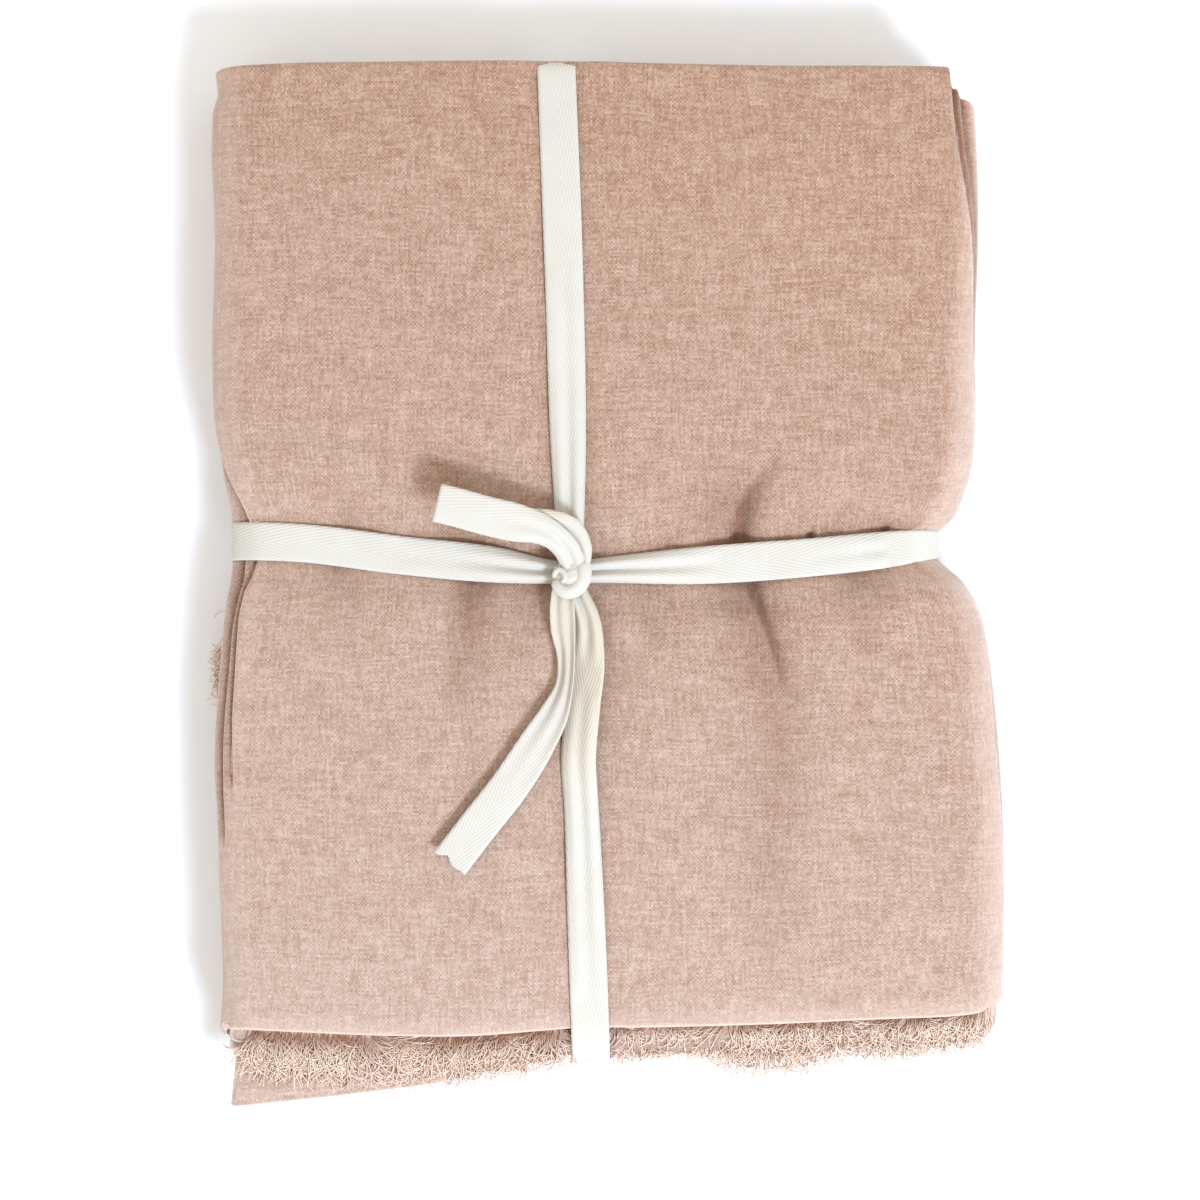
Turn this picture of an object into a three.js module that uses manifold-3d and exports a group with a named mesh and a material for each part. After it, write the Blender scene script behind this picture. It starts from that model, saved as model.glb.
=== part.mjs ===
// A washed linen tablecloth, folded into a flat pack and tied in a cross with cotton tape.
// Millimetres. +X is the wide fold's side, +Y the smooth end, -Y the frayed end and +Z up.
import * as THREE from "three";
import { mergeVertices } from "three/addons/utils/BufferGeometryUtils.js";
import Module from "manifold-3d";

// Driving dimensions of the cloth
const plyThickness = 1.0;
const plyPitch = 1.35;
const plies = 4;
const layers = 8;
const layerPitch = 5.6;
const foldLine = 172; // the inner fold's centre, at the frayed end
const rawLine = 182.5; // where the woven cloth ends and its fringe starts
const smoothLine = 200.8; // the folds' centre, at the smooth end
const leftLine = -144; // centre of the left-hand folds
const rightLine = 133.4; // centre of the right-hand folds
const freeLine = -150; // where the two lowest layers end, at the left
const rightSquash = 0.75; // the wide fold is pressed narrower than a half circle
const edgeReach = 62; // how far in from an edge its unevenness is felt
const slipReach = 92; // how far in a slipped ply is stretched
const waist = { depth: 0.1, reach: 24 }; // the pack's height lost under the crosswise run, as a share
const spine = { depth: 0.025, reach: 14 }; // and under the lengthwise one
const endDrop = { depth: 0.05, smooth: 30, frayed: 40 }; // and towards the ends
const sideDrop = { depth: 0.04, left: 14, right: 20 }; // and towards the sides
const cornerPull = { depth: 8, reach: 40 }; // the lower layers' draw-in at the smooth right corner

// Driving dimensions of the tape
const tapeWidth = 15;
const tapeThickness = 0.8;
const clearance = 0.35;
const lengthBed = { from: -75, low: -21, high: -6, to: 38 }; // the underside over the lengthwise run, in x
const crossBed = { from: -42, low: 5.5, high: 20.5, to: 62 }; // and over the crosswise run, in y
const lengthTrough = 1.3; // how far the underside rises over each run
const crossTrough = 2.45;
const lengthRunHeight = 0.5; // the middle of each run's thickness, below the cloth
const crossRunHeight = 1.62;

// Worked out from them
const bundle = (plies - 1) * plyPitch + plyThickness;
const firstLayer = bundle / 2;
const packHeight = (layers - 1) * layerPitch + bundle;
const outerFold = 3.5 * layerPitch + bundle / 2;
const leftEdge = leftLine - 1.5 * layerPitch - bundle / 2;
const rightEdge = rightLine + outerFold * rightSquash;
const underLength = (lengthBed.low + lengthBed.high) / 2;
const underCross = (crossBed.low + crossBed.high) / 2;

// Grid lines of every panel and ply. The beds' lines bound the tape's troughs.
const panelLines = [lengthBed.from, lengthBed.low, lengthBed.high, lengthBed.to, 56, 108];
const plyLines = [crossBed.from, crossBed.low, crossBed.high, crossBed.to, 130];
const rightFoldSteps = 4;
const leftFoldSteps = 3;
const plyFoldSteps = 2;

// Outline of the sides by place along Y: the edges, and how far the top layers step in from the lowest.
const sideRows = [
  { y: -205, left: -153, right: 157, leftStep: 4, rightStep: 0 },
  { y: -110, left: -154, right: 158, leftStep: 4, rightStep: 0 },
  { y: -60, left: -154.5, right: 154, leftStep: 4, rightStep: 0 },
  { y: -28, left: -152, right: 150, leftStep: 7, rightStep: 0 },
  { y: -4, left: -150.5, right: 142, leftStep: 9, rightStep: 1 },
  { y: 16, left: -147, right: 131.5, leftStep: 5, rightStep: 2 },
  { y: 38, left: -150, right: 140, leftStep: 4, rightStep: 2 },
  { y: 60, left: -154, right: 145, leftStep: 2, rightStep: 2 },
  { y: 100, left: -155.5, right: 146, leftStep: 1, rightStep: 2 },
  { y: 150, left: -155, right: 145, leftStep: 0, rightStep: 3 },
  { y: 190, left: -155, right: 143, leftStep: 0, rightStep: 6 },
  { y: 203, left: -154, right: 133, leftStep: 0, rightStep: 1 },
];

// Outline of the two ends by place along X, as shifts from the fold lines.
const endRows = [
  { x: -155, smooth: 0, frayed: -1 },
  { x: -120, smooth: 1.5, frayed: -2 },
  { x: -65, smooth: 0, frayed: -4 },
  { x: -15, smooth: 0.5, frayed: -1 },
  { x: 8, smooth: 2, frayed: -3 },
  { x: 60, smooth: 0.5, frayed: 0 },
  { x: 110, smooth: 0, frayed: 4 },
  { x: 130, smooth: -4, frayed: 6 },
  { x: 150, smooth: -11, frayed: 8 },
];

// Slips in the stack: the plies from one height to another slide along the pack at the frayed end.
const slipRows = [
  { low: plyHeight(8, -1.5), high: plyHeight(8, -1.5), left: -3, middle: -5, right: -9 },
  { low: plyHeight(6, 0.5), high: plyHeight(7, 0.5), left: -27, middle: -15, right: -1 },
  { low: plyHeight(4, 0.5), high: plyHeight(5, 0.5), left: -7, middle: -3, right: 4 },
  { low: plyHeight(2, 0.5), high: plyHeight(3, 0.5), left: 5, middle: -4, right: -6 },
  { low: plyHeight(1, 1.5), high: plyHeight(1, 0.5), left: -3, middle: -6, right: 2 },
];
const slipMargin = 0.1;
const slipRamp = 0.2;

// Soft troughs pressed into the upper layers. Each runs from one point to another.
const creaseRows = [
  { x0: 49, y0: 34, x1: 53, y1: 18, width: 9, depth: 4.5 },
  { x0: 53, y0: 0, x1: 71, y1: -50, width: 12, depth: 3.2 },
  { x0: 71, y0: -50, x1: 63, y1: -125, width: 16, depth: 1.4 },
  { x0: -59, y0: 0, x1: -60, y1: -48, width: 13, depth: 1.8 },
  { x0: -66, y0: 50, x1: -58, y1: 24, width: 12, depth: 1.4 },
  { x0: 106, y0: 30, x1: 104, y1: 20, width: 8, depth: 2 },
];

// The crosswise run's middle on top, by place along X, with the width that shows there.
const crossRows = [
  { x: -160, y: 16.9, width: 15 },
  { x: -120, y: 16.3, width: 15 },
  { x: -81, y: 12.2, width: 15 },
  { x: -42, y: 8.2, width: 13.5 },
  { x: -15, y: 5.4, width: 8.2 },
  { x: 0, y: 6.2, width: 10.5 },
  { x: 36, y: 8.3, width: 14.6 },
  { x: 80, y: 11.5, width: 15 },
  { x: 130, y: 15.4, width: 15 },
  { x: 170, y: 16, width: 15 },
];

// The lengthwise run's middle on top, by place along Y, with the width that shows there.
const lengthRows = [
  { y: -205, x: -6.2, width: 15 },
  { y: -130, x: -8.8, width: 14.5 },
  { y: -84, x: -10.6, width: 13 },
  { y: -68, x: -11.4, width: 11.5 },
  { y: -44, x: -9.8, width: 11 },
  { y: -26, x: -6.6, width: 12 },
  { y: -16, x: -7.4, width: 11 },
  { y: -6, x: -11.5, width: 8 },
  { y: 6, x: -15, width: 8 },
  { y: 16, x: -15, width: 11 },
  { y: 41, x: -15.5, width: 13.5 },
  { y: 126, x: -17.6, width: 15 },
  { y: 205, x: -20.6, width: 15 },
];

// Each run of the tape: the lines where it leaves the top for the ends, and where it lies below.
const crossRun = {
  rows: crossRows,
  along: "x",
  across: "y",
  from: -132,
  to: 108,
  stations: 31,
  under: underCross,
  underStations: 5,
  height: crossRunHeight,
};
const lengthRun = {
  rows: lengthRows,
  along: "y",
  across: "x",
  from: 176,
  to: -160,
  stations: 43,
  under: underLength,
  underStations: 5,
  height: lengthRunHeight,
};
const slopeStep = 4;
const endRays = 91;
const endLines = 11;
const rayShares = [-1.08, -0.55, 0, 0.55, 1.08]; // rays over the tape's width, as shares of its half width
const rayStart = 120; // farther out than any of the pack
const cornerShare = 0.75; // corners this near the tape's middle count, as a share of its width

// The tape's free ends. Each row is the middle of the tape, its width and the way its right edge lies.
const upperTail = [
  { x: -15, y: 7, z: 43.5, width: 9, ax: 1, ay: 0.1, az: 0 },
  { x: -13.4, y: 12, z: 46.5, width: 12, ax: 1, ay: 0.15, az: 0.1 },
  { x: -13, y: 17, z: 49.5, width: 14, ax: 0.97, ay: 0.25, az: 0.3 },
  { x: -15, y: 21.6, z: 53, width: 14, ax: 0.85, ay: 0.45, az: 0.55 },
  { x: -19.5, y: 25.3, z: 55.2, width: 14.5, ax: 0.55, ay: 0.75, az: 0.55 },
  { x: -28, y: 27.4, z: 56, width: 15, ax: 0.2, ay: 1, az: 0.35 },
  { x: -44, y: 28.8, z: 55.4, width: 15, ax: 0.03, ay: 1, az: 0.12 },
  { x: -58, y: 31.4, z: 56.3, width: 15, ax: -0.12, ay: 1, az: 0.05 },
  { x: -67.4, y: 32.2, z: 57.2, width: 15, ax: -0.1, ay: 1, az: 0.05 },
];
const lowerTail = [
  { x: -16.5, y: 2, z: 44, width: 8, ax: 1, ay: 0, az: 0 },
  { x: -18.4, y: -8, z: 46.6, width: 11, ax: 1, ay: 0.05, az: 0.1 },
  { x: -19, y: -18, z: 47.4, width: 12, ax: 0.95, ay: 0.05, az: 0.3 },
  { x: -18, y: -31, z: 48, width: 11, ax: 0.85, ay: 0.1, az: 0.5 },
  { x: -19.4, y: -43, z: 48.3, width: 11.5, ax: 0.9, ay: -0.15, az: 0.35 },
  { x: -26.2, y: -59, z: 48.3, width: 14, ax: 0.92, ay: -0.38, az: 0.1 },
  { x: -38.4, y: -77.4, z: 47.6, width: 15, ax: 0.85, ay: -0.52, az: 0.03 },
  { x: -50.6, y: -93, z: 47.5, width: 15, ax: 0.83, ay: -0.56, az: 0 },
  { x: -62.4, y: -107.4, z: 48.6, width: 15, ax: 0.83, ay: -0.56, az: 0 },
];

const tailSteps = 18;

// The knot's lumps: a middle and three half axes each.
const knotRows = [
  { x: -15, y: 5.5, z: 45, rx: 7, ry: 6.2, rz: 4.2 },
  { x: -12.6, y: 8.5, z: 47.4, rx: 4.6, ry: 5.6, rz: 3.2 },
  { x: -15.2, y: 0.8, z: 46.6, rx: 5.8, ry: 3.6, rz: 3.2 },
];

// Fringes at the frayed end: the layer and ply of each, where it starts, and how its locks reach, rise and
// lean. Each runs to the wide fold, and the lowest starts past the tape.
const pastTape = lengthBed.high;
const fringeRows = [
  { name: "fringe_upper", layer: 8, ply: -0.5, from: leftLine, locks: 46, reach: 10, rise: 0.9, lean: 3 },
  { name: "fringe_middle", layer: 8, ply: -1.5, from: leftLine, locks: 45, reach: 10, rise: -0.8, lean: -3 },
  { name: "fringe_lower", layer: 7, ply: -1.5, from: pastTape, locks: 23, reach: 9, rise: -2.2, lean: 3 },
];
const fringeBacking = 2.2;
const fringeThickness = 0.7;
const lockWidth = 1.15;
const lockTaper = 0.45; // the width a lock loses on its way to the tip, as a share
const lockReach = { least: 0.6, most: 1.2 }; // shares of the fringe's reach
const lockInset = 1.5; // the first and last locks stand this far in from the backing's ends
const lockRoot = 1.5; // a lock starts this far out from the cloth's side of its backing
const tapeGap = 10.5; // no lock stands within this of the tape's middle

// The tuft at the left: where it runs along Y.
const sideFringe = { name: "fringe_side", start: -48, end: -20, locks: 10, reach: 8, rise: -1, lean: 3 };

const up = new THREE.Vector3(0, 0, 1);

const wasm = await Module();
wasm.setup();

const clothColour = new THREE.MeshStandardMaterial({ color: 0xcda998, roughness: 0.92, metalness: 0 });
const fringeColour = new THREE.MeshStandardMaterial({ color: 0xe2c9bb, roughness: 0.95, metalness: 0 });
const tapeColour = new THREE.MeshStandardMaterial({ color: 0xf0ece0, roughness: 0.85, metalness: 0 });

// A column's value between the rows of a table, half eased so that its corners are soft.
function between(rows, key, at, column) {
  if (at <= rows[0][key]) return rows[0][column];
  if (at >= rows[rows.length - 1][key]) return rows[rows.length - 1][column];
  const i = rows.findIndex((row) => row[key] >= at);
  const low = rows[i - 1];
  const high = rows[i];
  const share = (at - low[key]) / (high[key] - low[key]);
  const eased = (share + share * share * (3 - 2 * share)) / 2;
  return low[column] + (high[column] - low[column]) * eased;
}

// The middle height of a ply in the even pack. Plies 1.5 and 0.5 meet in the inner fold, and every
// second layer is turned over.
function plyHeight(layer, ply) {
  const facing = layer % 2 === 0 ? 1 : -1;
  return layerHeight(layer) + facing * ply * plyPitch;
}

// One at the place itself and nothing at the reach beyond it.
function fade(distance, reach) {
  const share = Math.min(Math.max(distance / reach, 0), 1);
  return (1 - share) ** 2 * (1 + 2 * share);
}

// How far a point lies from a crease's line.
function creaseDistance(row, x, y) {
  const dx = row.x1 - row.x0;
  const dy = row.y1 - row.y0;
  const along = ((x - row.x0) * dx + (y - row.y0) * dy) / (dx * dx + dy * dy);
  const held = Math.min(Math.max(along, 0), 1);
  return Math.hypot(x - row.x0 - dx * held, y - row.y0 - dy * held);
}

// How much of the full height is left at a place: the tape's waist, the soft ends and the creases.
function heightLeft(x, y) {
  const atWaist = Math.exp(-(((y - between(crossRows, "x", x, "y")) / waist.reach) ** 2));
  const atSpine = Math.exp(-(((x - between(lengthRows, "y", y, "x")) / spine.reach) ** 2));
  const atEnds = fade(smoothLine - y, endDrop.smooth) + fade(y + rawLine, endDrop.frayed);
  const atSides = fade(x - leftEdge, sideDrop.left) + fade(rightEdge - x, sideDrop.right) / 2;
  const underTape = waist.depth * atWaist + spine.depth * atSpine;
  return 1 - underTape - endDrop.depth * atEnds - sideDrop.depth * atSides;
}

// All of a bed's rise between its inner lines, and none at its outer ones.
function bedShare(bed, at) {
  return at < bed.low ? fade(bed.low - at, bed.low - bed.from) : fade(at - bed.high, bed.to - bed.high);
}

// The rise of the underside over the tape's two runs.
function troughOver(x, y) {
  const lengthPart = lengthTrough * bedShare(lengthBed, x);
  const crossPart = crossTrough * bedShare(crossBed, y);
  return Math.max(lengthPart, crossPart) + Math.min(lengthPart, crossPart) / 6;
}

// The slip of the plies at one height, from a place along X.
function slipOfHeight(x, z) {
  const share = (x - leftEdge) / (rightEdge - leftEdge);
  let slip = 0;
  for (const row of slipRows) {
    const reach =
      share < 0.5
        ? row.left + (row.middle - row.left) * share * 2
        : row.middle + (row.right - row.middle) * (share * 2 - 1);
    const outside = Math.max(row.low - z, z - row.high) - plyThickness / 2 - slipMargin;
    slip += reach * fade(outside, slipRamp);
  }
  return slip;
}

// The slip at a point. Round a fold it passes evenly from the ply's slip above to its slip below.
function slipAt(x, z) {
  const centre = foldCentre(x, z);
  if (!centre) return slipOfHeight(x, z);
  const radius = Math.hypot(x - centre.x, z - centre.z);
  const share = 0.5 + (0.5 * (z - centre.z)) / Math.max(radius, 1e-6);
  return share * slipOfHeight(x, centre.z + radius) + (1 - share) * slipOfHeight(x, centre.z - radius);
}

// The middle of the nested folds that a point lies in, or nothing on the straight runs.
function foldCentre(x, z) {
  if (x > rightLine) return { x: rightLine, z: layerHeight(4.5) };
  if (x < leftLine && z > layerHeight(4.5)) return { x: leftLine, z: layerHeight(6.5) };
  if (x < leftLine && z > layerHeight(2.5)) return { x: leftLine, z: layerHeight(3.5) };
  return null;
}

// Moves a point of the evenly folded pack to where it lies in the tied one.
function settle(x, y, z) {
  const level = z / packHeight;
  const squashed = x > rightLine ? rightLine + (x - rightLine) * rightSquash : x;

  const pull = cornerPull.depth * (1 - level) * fade(rightEdge - squashed, cornerPull.reach);
  const smoothShift = between(endRows, "x", squashed, "smooth") - pull;
  const frayedShift = between(endRows, "x", squashed, "frayed") + slipAt(x, z);
  const smoothMove = smoothShift * fade(smoothLine - y, edgeReach);
  const frayedMove = frayedShift * fade(y + foldLine, slipReach);
  const placedY = y + smoothMove + frayedMove;

  const leftFade = fade(squashed - leftEdge, edgeReach);
  const rightFade = fade(rightEdge - squashed, edgeReach);
  const leftMove = between(sideRows, "y", placedY, "left") - leftEdge;
  const rightMove = between(sideRows, "y", placedY, "right") - rightEdge;
  const leftStep = between(sideRows, "y", placedY, "leftStep") * level ** 3;
  const rightStep = between(sideRows, "y", placedY, "rightStep") * level ** 2;
  const placedX = squashed + (leftMove + leftStep) * leftFade + (rightMove - rightStep) * rightFade;

  let placedZ = z * heightLeft(placedX, placedY);
  for (const row of creaseRows) {
    const pressed = Math.exp(-((creaseDistance(row, placedX, placedY) / row.width) ** 2));
    placedZ -= row.depth * pressed * level ** 3;
  }
  placedZ += troughOver(placedX, placedY) * (1 - level) ** 2;
  return new THREE.Vector3(placedX, placedY, placedZ);
}

// Stations round a fold, each with its place and its normal. Both ends are left to the straight runs.
function foldStations(centreA, centreB, radius, from, to, steps) {
  const turn = Math.sign(to - from);
  const stations = [];
  for (let i = 1; i < steps; i++) {
    const angle = THREE.MathUtils.degToRad(from + ((to - from) * i) / steps);
    const a = Math.cos(angle);
    const b = Math.sin(angle);
    stations.push({ a: centreA + radius * a, b: centreB + radius * b, na: turn * a, nb: turn * b });
  }
  return stations;
}

// Stations along a straight run at one height, from one line to another.
function runStations(lines, height, normal) {
  return lines.map((line) => ({ a: line, b: height, na: 0, nb: normal }));
}

// The middle height of a layer, or of the space between two.
function layerHeight(layer) {
  return firstLayer + (layer - 1) * layerPitch;
}

// The path across the width: eight layers in the order that folding in half three times gives.
function panelPath() {
  const rightwards = (layer, start = leftLine) =>
    runStations([start, ...panelLines, rightLine], layerHeight(layer), -1);
  const leftwards = (layer, end = leftLine) =>
    runStations([rightLine, ...[...panelLines].reverse(), end], layerHeight(layer), 1);
  const right = (from, to) => {
    const radius = (Math.abs(to - from) / 2) * layerPitch;
    const [start, end] = to > from ? [-90, 90] : [90, -90];
    return foldStations(rightLine, layerHeight((from + to) / 2), radius, start, end, rightFoldSteps);
  };
  const left = (from, to) => {
    const radius = (Math.abs(to - from) / 2) * layerPitch;
    const [start, end] = to < from ? [90, 270] : [270, 90];
    return foldStations(leftLine, layerHeight((from + to) / 2), radius, start, end, leftFoldSteps);
  };
  return [
    ...rightwards(1, freeLine),
    ...right(1, 8),
    ...leftwards(8),
    ...left(8, 5),
    ...rightwards(5),
    ...right(5, 4),
    ...leftwards(4),
    ...left(4, 3),
    ...rightwards(3),
    ...right(3, 6),
    ...leftwards(6),
    ...left(6, 7),
    ...rightwards(7),
    ...right(7, 2),
    ...leftwards(2, freeLine),
  ];
}

// The path along the length: four plies, with both raw edges at the frayed end.
function plyPath() {
  const half = plyPitch / 2;
  const back = [...plyLines].reverse();
  return [
    ...runStations([-rawLine, ...plyLines, smoothLine], -half, -1),
    ...foldStations(smoothLine, 0, half, -90, 90, plyFoldSteps),
    ...runStations([smoothLine, ...back, -foldLine], half, 1),
    ...foldStations(-foldLine, 2 * half, half, 270, 90, plyFoldSteps),
    ...runStations([-foldLine, ...plyLines, smoothLine], 3 * half, -1),
    ...foldStations(smoothLine, 0, 3 * half, 90, -90, plyFoldSteps),
    ...runStations([smoothLine, ...back, -rawLine], -3 * half, 1),
  ];
}

// A closed sheet from two grids of points, one for each of its faces.
function closedSheet(front, back) {
  const rows = front.length;
  const columns = front[0].length;
  const positions = [...front.flat(), ...back.flat()].flatMap((p) => [p.x, p.y, p.z]);
  const index = [];
  const id = (face, i, j) => face * rows * columns + i * columns + j;
  const quad = (a, b, c, d) => index.push(a, b, c, a, c, d);
  for (let i = 0; i + 1 < rows; i++) {
    for (let j = 0; j + 1 < columns; j++) {
      quad(id(0, i, j), id(0, i + 1, j), id(0, i + 1, j + 1), id(0, i, j + 1));
      quad(id(1, i, j), id(1, i, j + 1), id(1, i + 1, j + 1), id(1, i + 1, j));
    }
  }
  for (let i = 0; i + 1 < rows; i++) {
    quad(id(0, i, 0), id(1, i, 0), id(1, i + 1, 0), id(0, i + 1, 0));
    quad(id(0, i, columns - 1), id(0, i + 1, columns - 1), id(1, i + 1, columns - 1), id(1, i, columns - 1));
  }
  for (let j = 0; j + 1 < columns; j++) {
    quad(id(0, 0, j), id(0, 0, j + 1), id(1, 0, j + 1), id(1, 0, j));
    quad(id(0, rows - 1, j), id(1, rows - 1, j), id(1, rows - 1, j + 1), id(0, rows - 1, j + 1));
  }
  return solidFrom(positions, index);
}

// A geometry whose faces point out, from its points and triangles.
function solidFrom(positions, index) {
  let volume = 0;
  const p = (k) => new THREE.Vector3().fromArray(positions, 3 * k);
  for (let i = 0; i < index.length; i += 3) {
    volume += p(index[i]).dot(p(index[i + 1]).cross(p(index[i + 2])));
  }
  if (volume < 0) index.reverse();
  const geometry = new THREE.BufferGeometry();
  geometry.setAttribute("position", new THREE.Float32BufferAttribute(positions, 3));
  geometry.setIndex(index);
  return geometry;
}

// The folded cloth. Each path gives a place and a normal, and one path rides on the other's normal.
function foldedCloth() {
  const across = panelPath();
  const along = plyPath();
  const face = (side) =>
    across.map((u) =>
      along.map((v) => {
        const y = v.a + (v.na * side * plyThickness) / 2;
        const offset = v.b + (v.nb * side * plyThickness) / 2;
        return settle(u.a + u.na * offset, y, u.b + u.nb * offset);
      }),
    );
  return closedSheet(face(1), face(-1));
}

// A solid for the booleans, from a geometry's welded points.
function toSolid(geometry) {
  const bare = geometry.clone();
  bare.deleteAttribute("normal");
  bare.deleteAttribute("uv");
  const merged = mergeVertices(bare, 1e-4);
  return new wasm.Manifold(
    new wasm.Mesh({
      numProp: 3,
      vertProperties: merged.attributes.position.array,
      triVerts: new Uint32Array(merged.index.array),
    }),
  );
}

function toGeometry(solid) {
  const mesh = solid.getMesh();
  const geometry = new THREE.BufferGeometry();
  geometry.setAttribute("position", new THREE.BufferAttribute(mesh.vertProperties, 3));
  geometry.setIndex(new THREE.BufferAttribute(mesh.triVerts, 1));
  return geometry;
}

// One body from pieces that run into each other.
function joined(geometries) {
  return toGeometry(wasm.Manifold.union(geometries.map(toSolid)));
}

// A flat tape through stations. Each has its middle, its half width as a vector and its outward normal.
function tapeStrip(stations, isLoop) {
  const faces = [1, -1].map((side) =>
    stations.map((s) => {
      const lift = s.normal.clone().multiplyScalar((side * tapeThickness) / 2);
      return [-1, 1].map((edge) => s.middle.clone().addScaledVector(s.half, edge).add(lift));
    }),
  );
  if (!isLoop) return closedSheet(faces[0], faces[1]);
  const ring = stations.map((_, i) => [faces[0][i][0], faces[0][i][1], faces[1][i][1], faces[1][i][0]]);
  const positions = ring.flat().flatMap((p) => [p.x, p.y, p.z]);
  const index = [];
  for (let i = 0; i < ring.length; i++) {
    const next = (i + 1) % ring.length;
    for (let j = 0; j < 4; j++) {
      const k = (j + 1) % 4;
      index.push(4 * i + j, 4 * next + j, 4 * next + k, 4 * i + j, 4 * next + k, 4 * i + k);
    }
  }
  return solidFrom(positions, index);
}

// How far the pack reaches from a point along a direction, for each ray over the tape's width.
function reachesAlong(pack, from, direction, half) {
  const caster = new THREE.Raycaster();
  const reaches = [];
  for (const share of rayShares) {
    const origin = from.clone().addScaledVector(half, share).addScaledVector(direction, rayStart);
    caster.set(origin, direction.clone().negate());
    const hit = caster.intersectObjects(pack)[0];
    if (hit) reaches.push(rayStart - hit.distance);
  }
  return reaches;
}

// The points of a mesh.
function cornersOf(mesh) {
  const positions = mesh.geometry.getAttribute("position");
  const corner = (_, i) => new THREE.Vector3().fromBufferAttribute(positions, i);
  return Array.from({ length: positions.count }, corner);
}

function evenly(from, to, count) {
  return Array.from({ length: count }, (_, i) => from + ((to - from) * i) / (count - 1));
}

// The tape's stations over the top, each just above the highest of the pack around it.
function topStations(pack, places) {
  const heights = places.map((p) => Math.max(...reachesAlong(pack, p.core, up, p.half)));
  return places.map((p, i) => {
    const highest = Math.max(...heights.slice(Math.max(i - 1, 0), i + 2));
    const lift = highest + clearance + tapeThickness / 2;
    return { middle: p.core.clone().addScaledVector(up, lift), half: p.half, normal: up.clone() };
  });
}

// Stations round one end of the pack, on lines that touch its section from outside, as taut tape does.
// The tape's middle shifts from its place on top to its place below on the way.
function endStations(pack, end, topHeight) {
  const core = (share) => {
    const aside = end.top + end.shift * share;
    return new THREE.Vector3().addScaledVector(end.out, end.core).addScaledVector(end.side, aside);
  };
  const half = end.side.clone().multiplyScalar(tapeWidth / 2);
  const direction = (angle) => {
    const turn = THREE.MathUtils.degToRad(angle);
    return end.out.clone().multiplyScalar(Math.cos(turn)).addScaledVector(up, Math.sin(turn));
  };
  const touched = [];
  for (const angle of evenly(90, -90, endRays)) {
    const from = core((90 - angle) / 180).setZ(packHeight / 2);
    for (const reach of reachesAlong(pack, from, direction(angle), half)) {
      touched.push(from.clone().addScaledVector(direction(angle), reach));
    }
  }
  for (const corner of pack.flatMap(cornersOf)) {
    const aside = Math.abs(corner.dot(end.side) - end.top - end.shift / 2);
    if (corner.dot(end.out) > end.core && aside < tapeWidth * cornerShare) touched.push(corner);
  }
  const lines = evenly(90, -90, endLines).map((angle) => {
    const normal = direction(angle);
    const reach = Math.max(...touched.map((p) => p.dot(normal))) + clearance + tapeThickness / 2;
    return { angle, normal, reach };
  });
  lines[0].reach = Math.max(lines[0].reach, topHeight);
  lines[lines.length - 1].reach = -end.below;
  return lines.slice(1).map((line, i) => {
    const before = lines[i];
    const normal = before.normal.clone().add(line.normal).normalize();
    const outBefore = before.normal.dot(end.out);
    const outNow = line.normal.dot(end.out);
    const span = outBefore * line.normal.z - outNow * before.normal.z;
    const outward = (before.reach * line.normal.z - line.reach * before.normal.z) / span;
    const height = (outBefore * line.reach - outNow * before.reach) / span;
    const share = (90 - (before.angle + line.angle) / 2) / 180;
    const sideways = core(share).dot(end.side);
    const middle = end.out.clone().multiplyScalar(outward).addScaledVector(end.side, sideways).setZ(height);
    return { middle, half, normal };
  });
}

// One run of the tape round the pack: over the top, round the far end, below and round the near end.
function tapeRun(pack, run) {
  const forward = run.along === "x" ? new THREE.Vector3(1, 0, 0) : new THREE.Vector3(0, 1, 0);
  const sideways = run.along === "x" ? new THREE.Vector3(0, 1, 0) : new THREE.Vector3(1, 0, 0);
  const place = (at, off) => forward.clone().multiplyScalar(at).addScaledVector(sideways, off);
  const aside = (at) => between(run.rows, run.along, at, run.across);
  const flat = sideways.clone().multiplyScalar(tapeWidth / 2);
  const top = topStations(
    pack,
    evenly(run.from, run.to, run.stations).map((at) => {
      const slope = (aside(at + slopeStep) - aside(at - slopeStep)) / (2 * slopeStep);
      const width = between(run.rows, run.along, at, "width");
      const half = sideways.clone().addScaledVector(forward, -slope).setLength(width / 2);
      return { core: place(at, aside(at)).setZ(packHeight / 2), half };
    }),
  );
  const end = (at, height) => {
    const out = forward.clone().multiplyScalar(Math.sign(at));
    const shift = run.under - aside(at);
    const plan = { out, side: sideways, core: Math.abs(at), top: aside(at), shift, below: run.height };
    return endStations(pack, plan, height);
  };
  const far = end(run.to, top[top.length - 1].middle.z);
  const near = end(run.from, top[0].middle.z).reverse();
  const below = evenly(run.to, run.from, run.underStations).map((at) => {
    return { middle: place(at, run.under).setZ(run.height), half: flat, normal: up.clone().negate() };
  });
  return [...top, ...far, ...below, ...near];
}

// A free end: a curve through its rows, with the width and the edge's way eased between them.
function tailStations(rows, count) {
  const middles = rows.map((row) => new THREE.Vector3(row.x, row.y, row.z));
  const curve = new THREE.CatmullRomCurve3(middles, false, "centripetal");
  const edges = new THREE.CatmullRomCurve3(rows.map((row) => new THREE.Vector3(row.ax, row.ay, row.az)));
  return evenly(0, 1, count).map((share) => {
    const middle = curve.getPoint(share);
    const tangent = curve.getTangent(share);
    const edge = edges.getPoint(share);
    edge.addScaledVector(tangent, -edge.dot(tangent)).normalize();
    const at = share * (rows.length - 1);
    const low = rows[Math.floor(at)];
    const high = rows[Math.min(Math.floor(at) + 1, rows.length - 1)];
    const width = low.width + (high.width - low.width) * (at - Math.floor(at));
    const normal = edge.clone().cross(tangent).normalize();
    return { middle, half: edge.multiplyScalar(width / 2), normal };
  });
}

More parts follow.
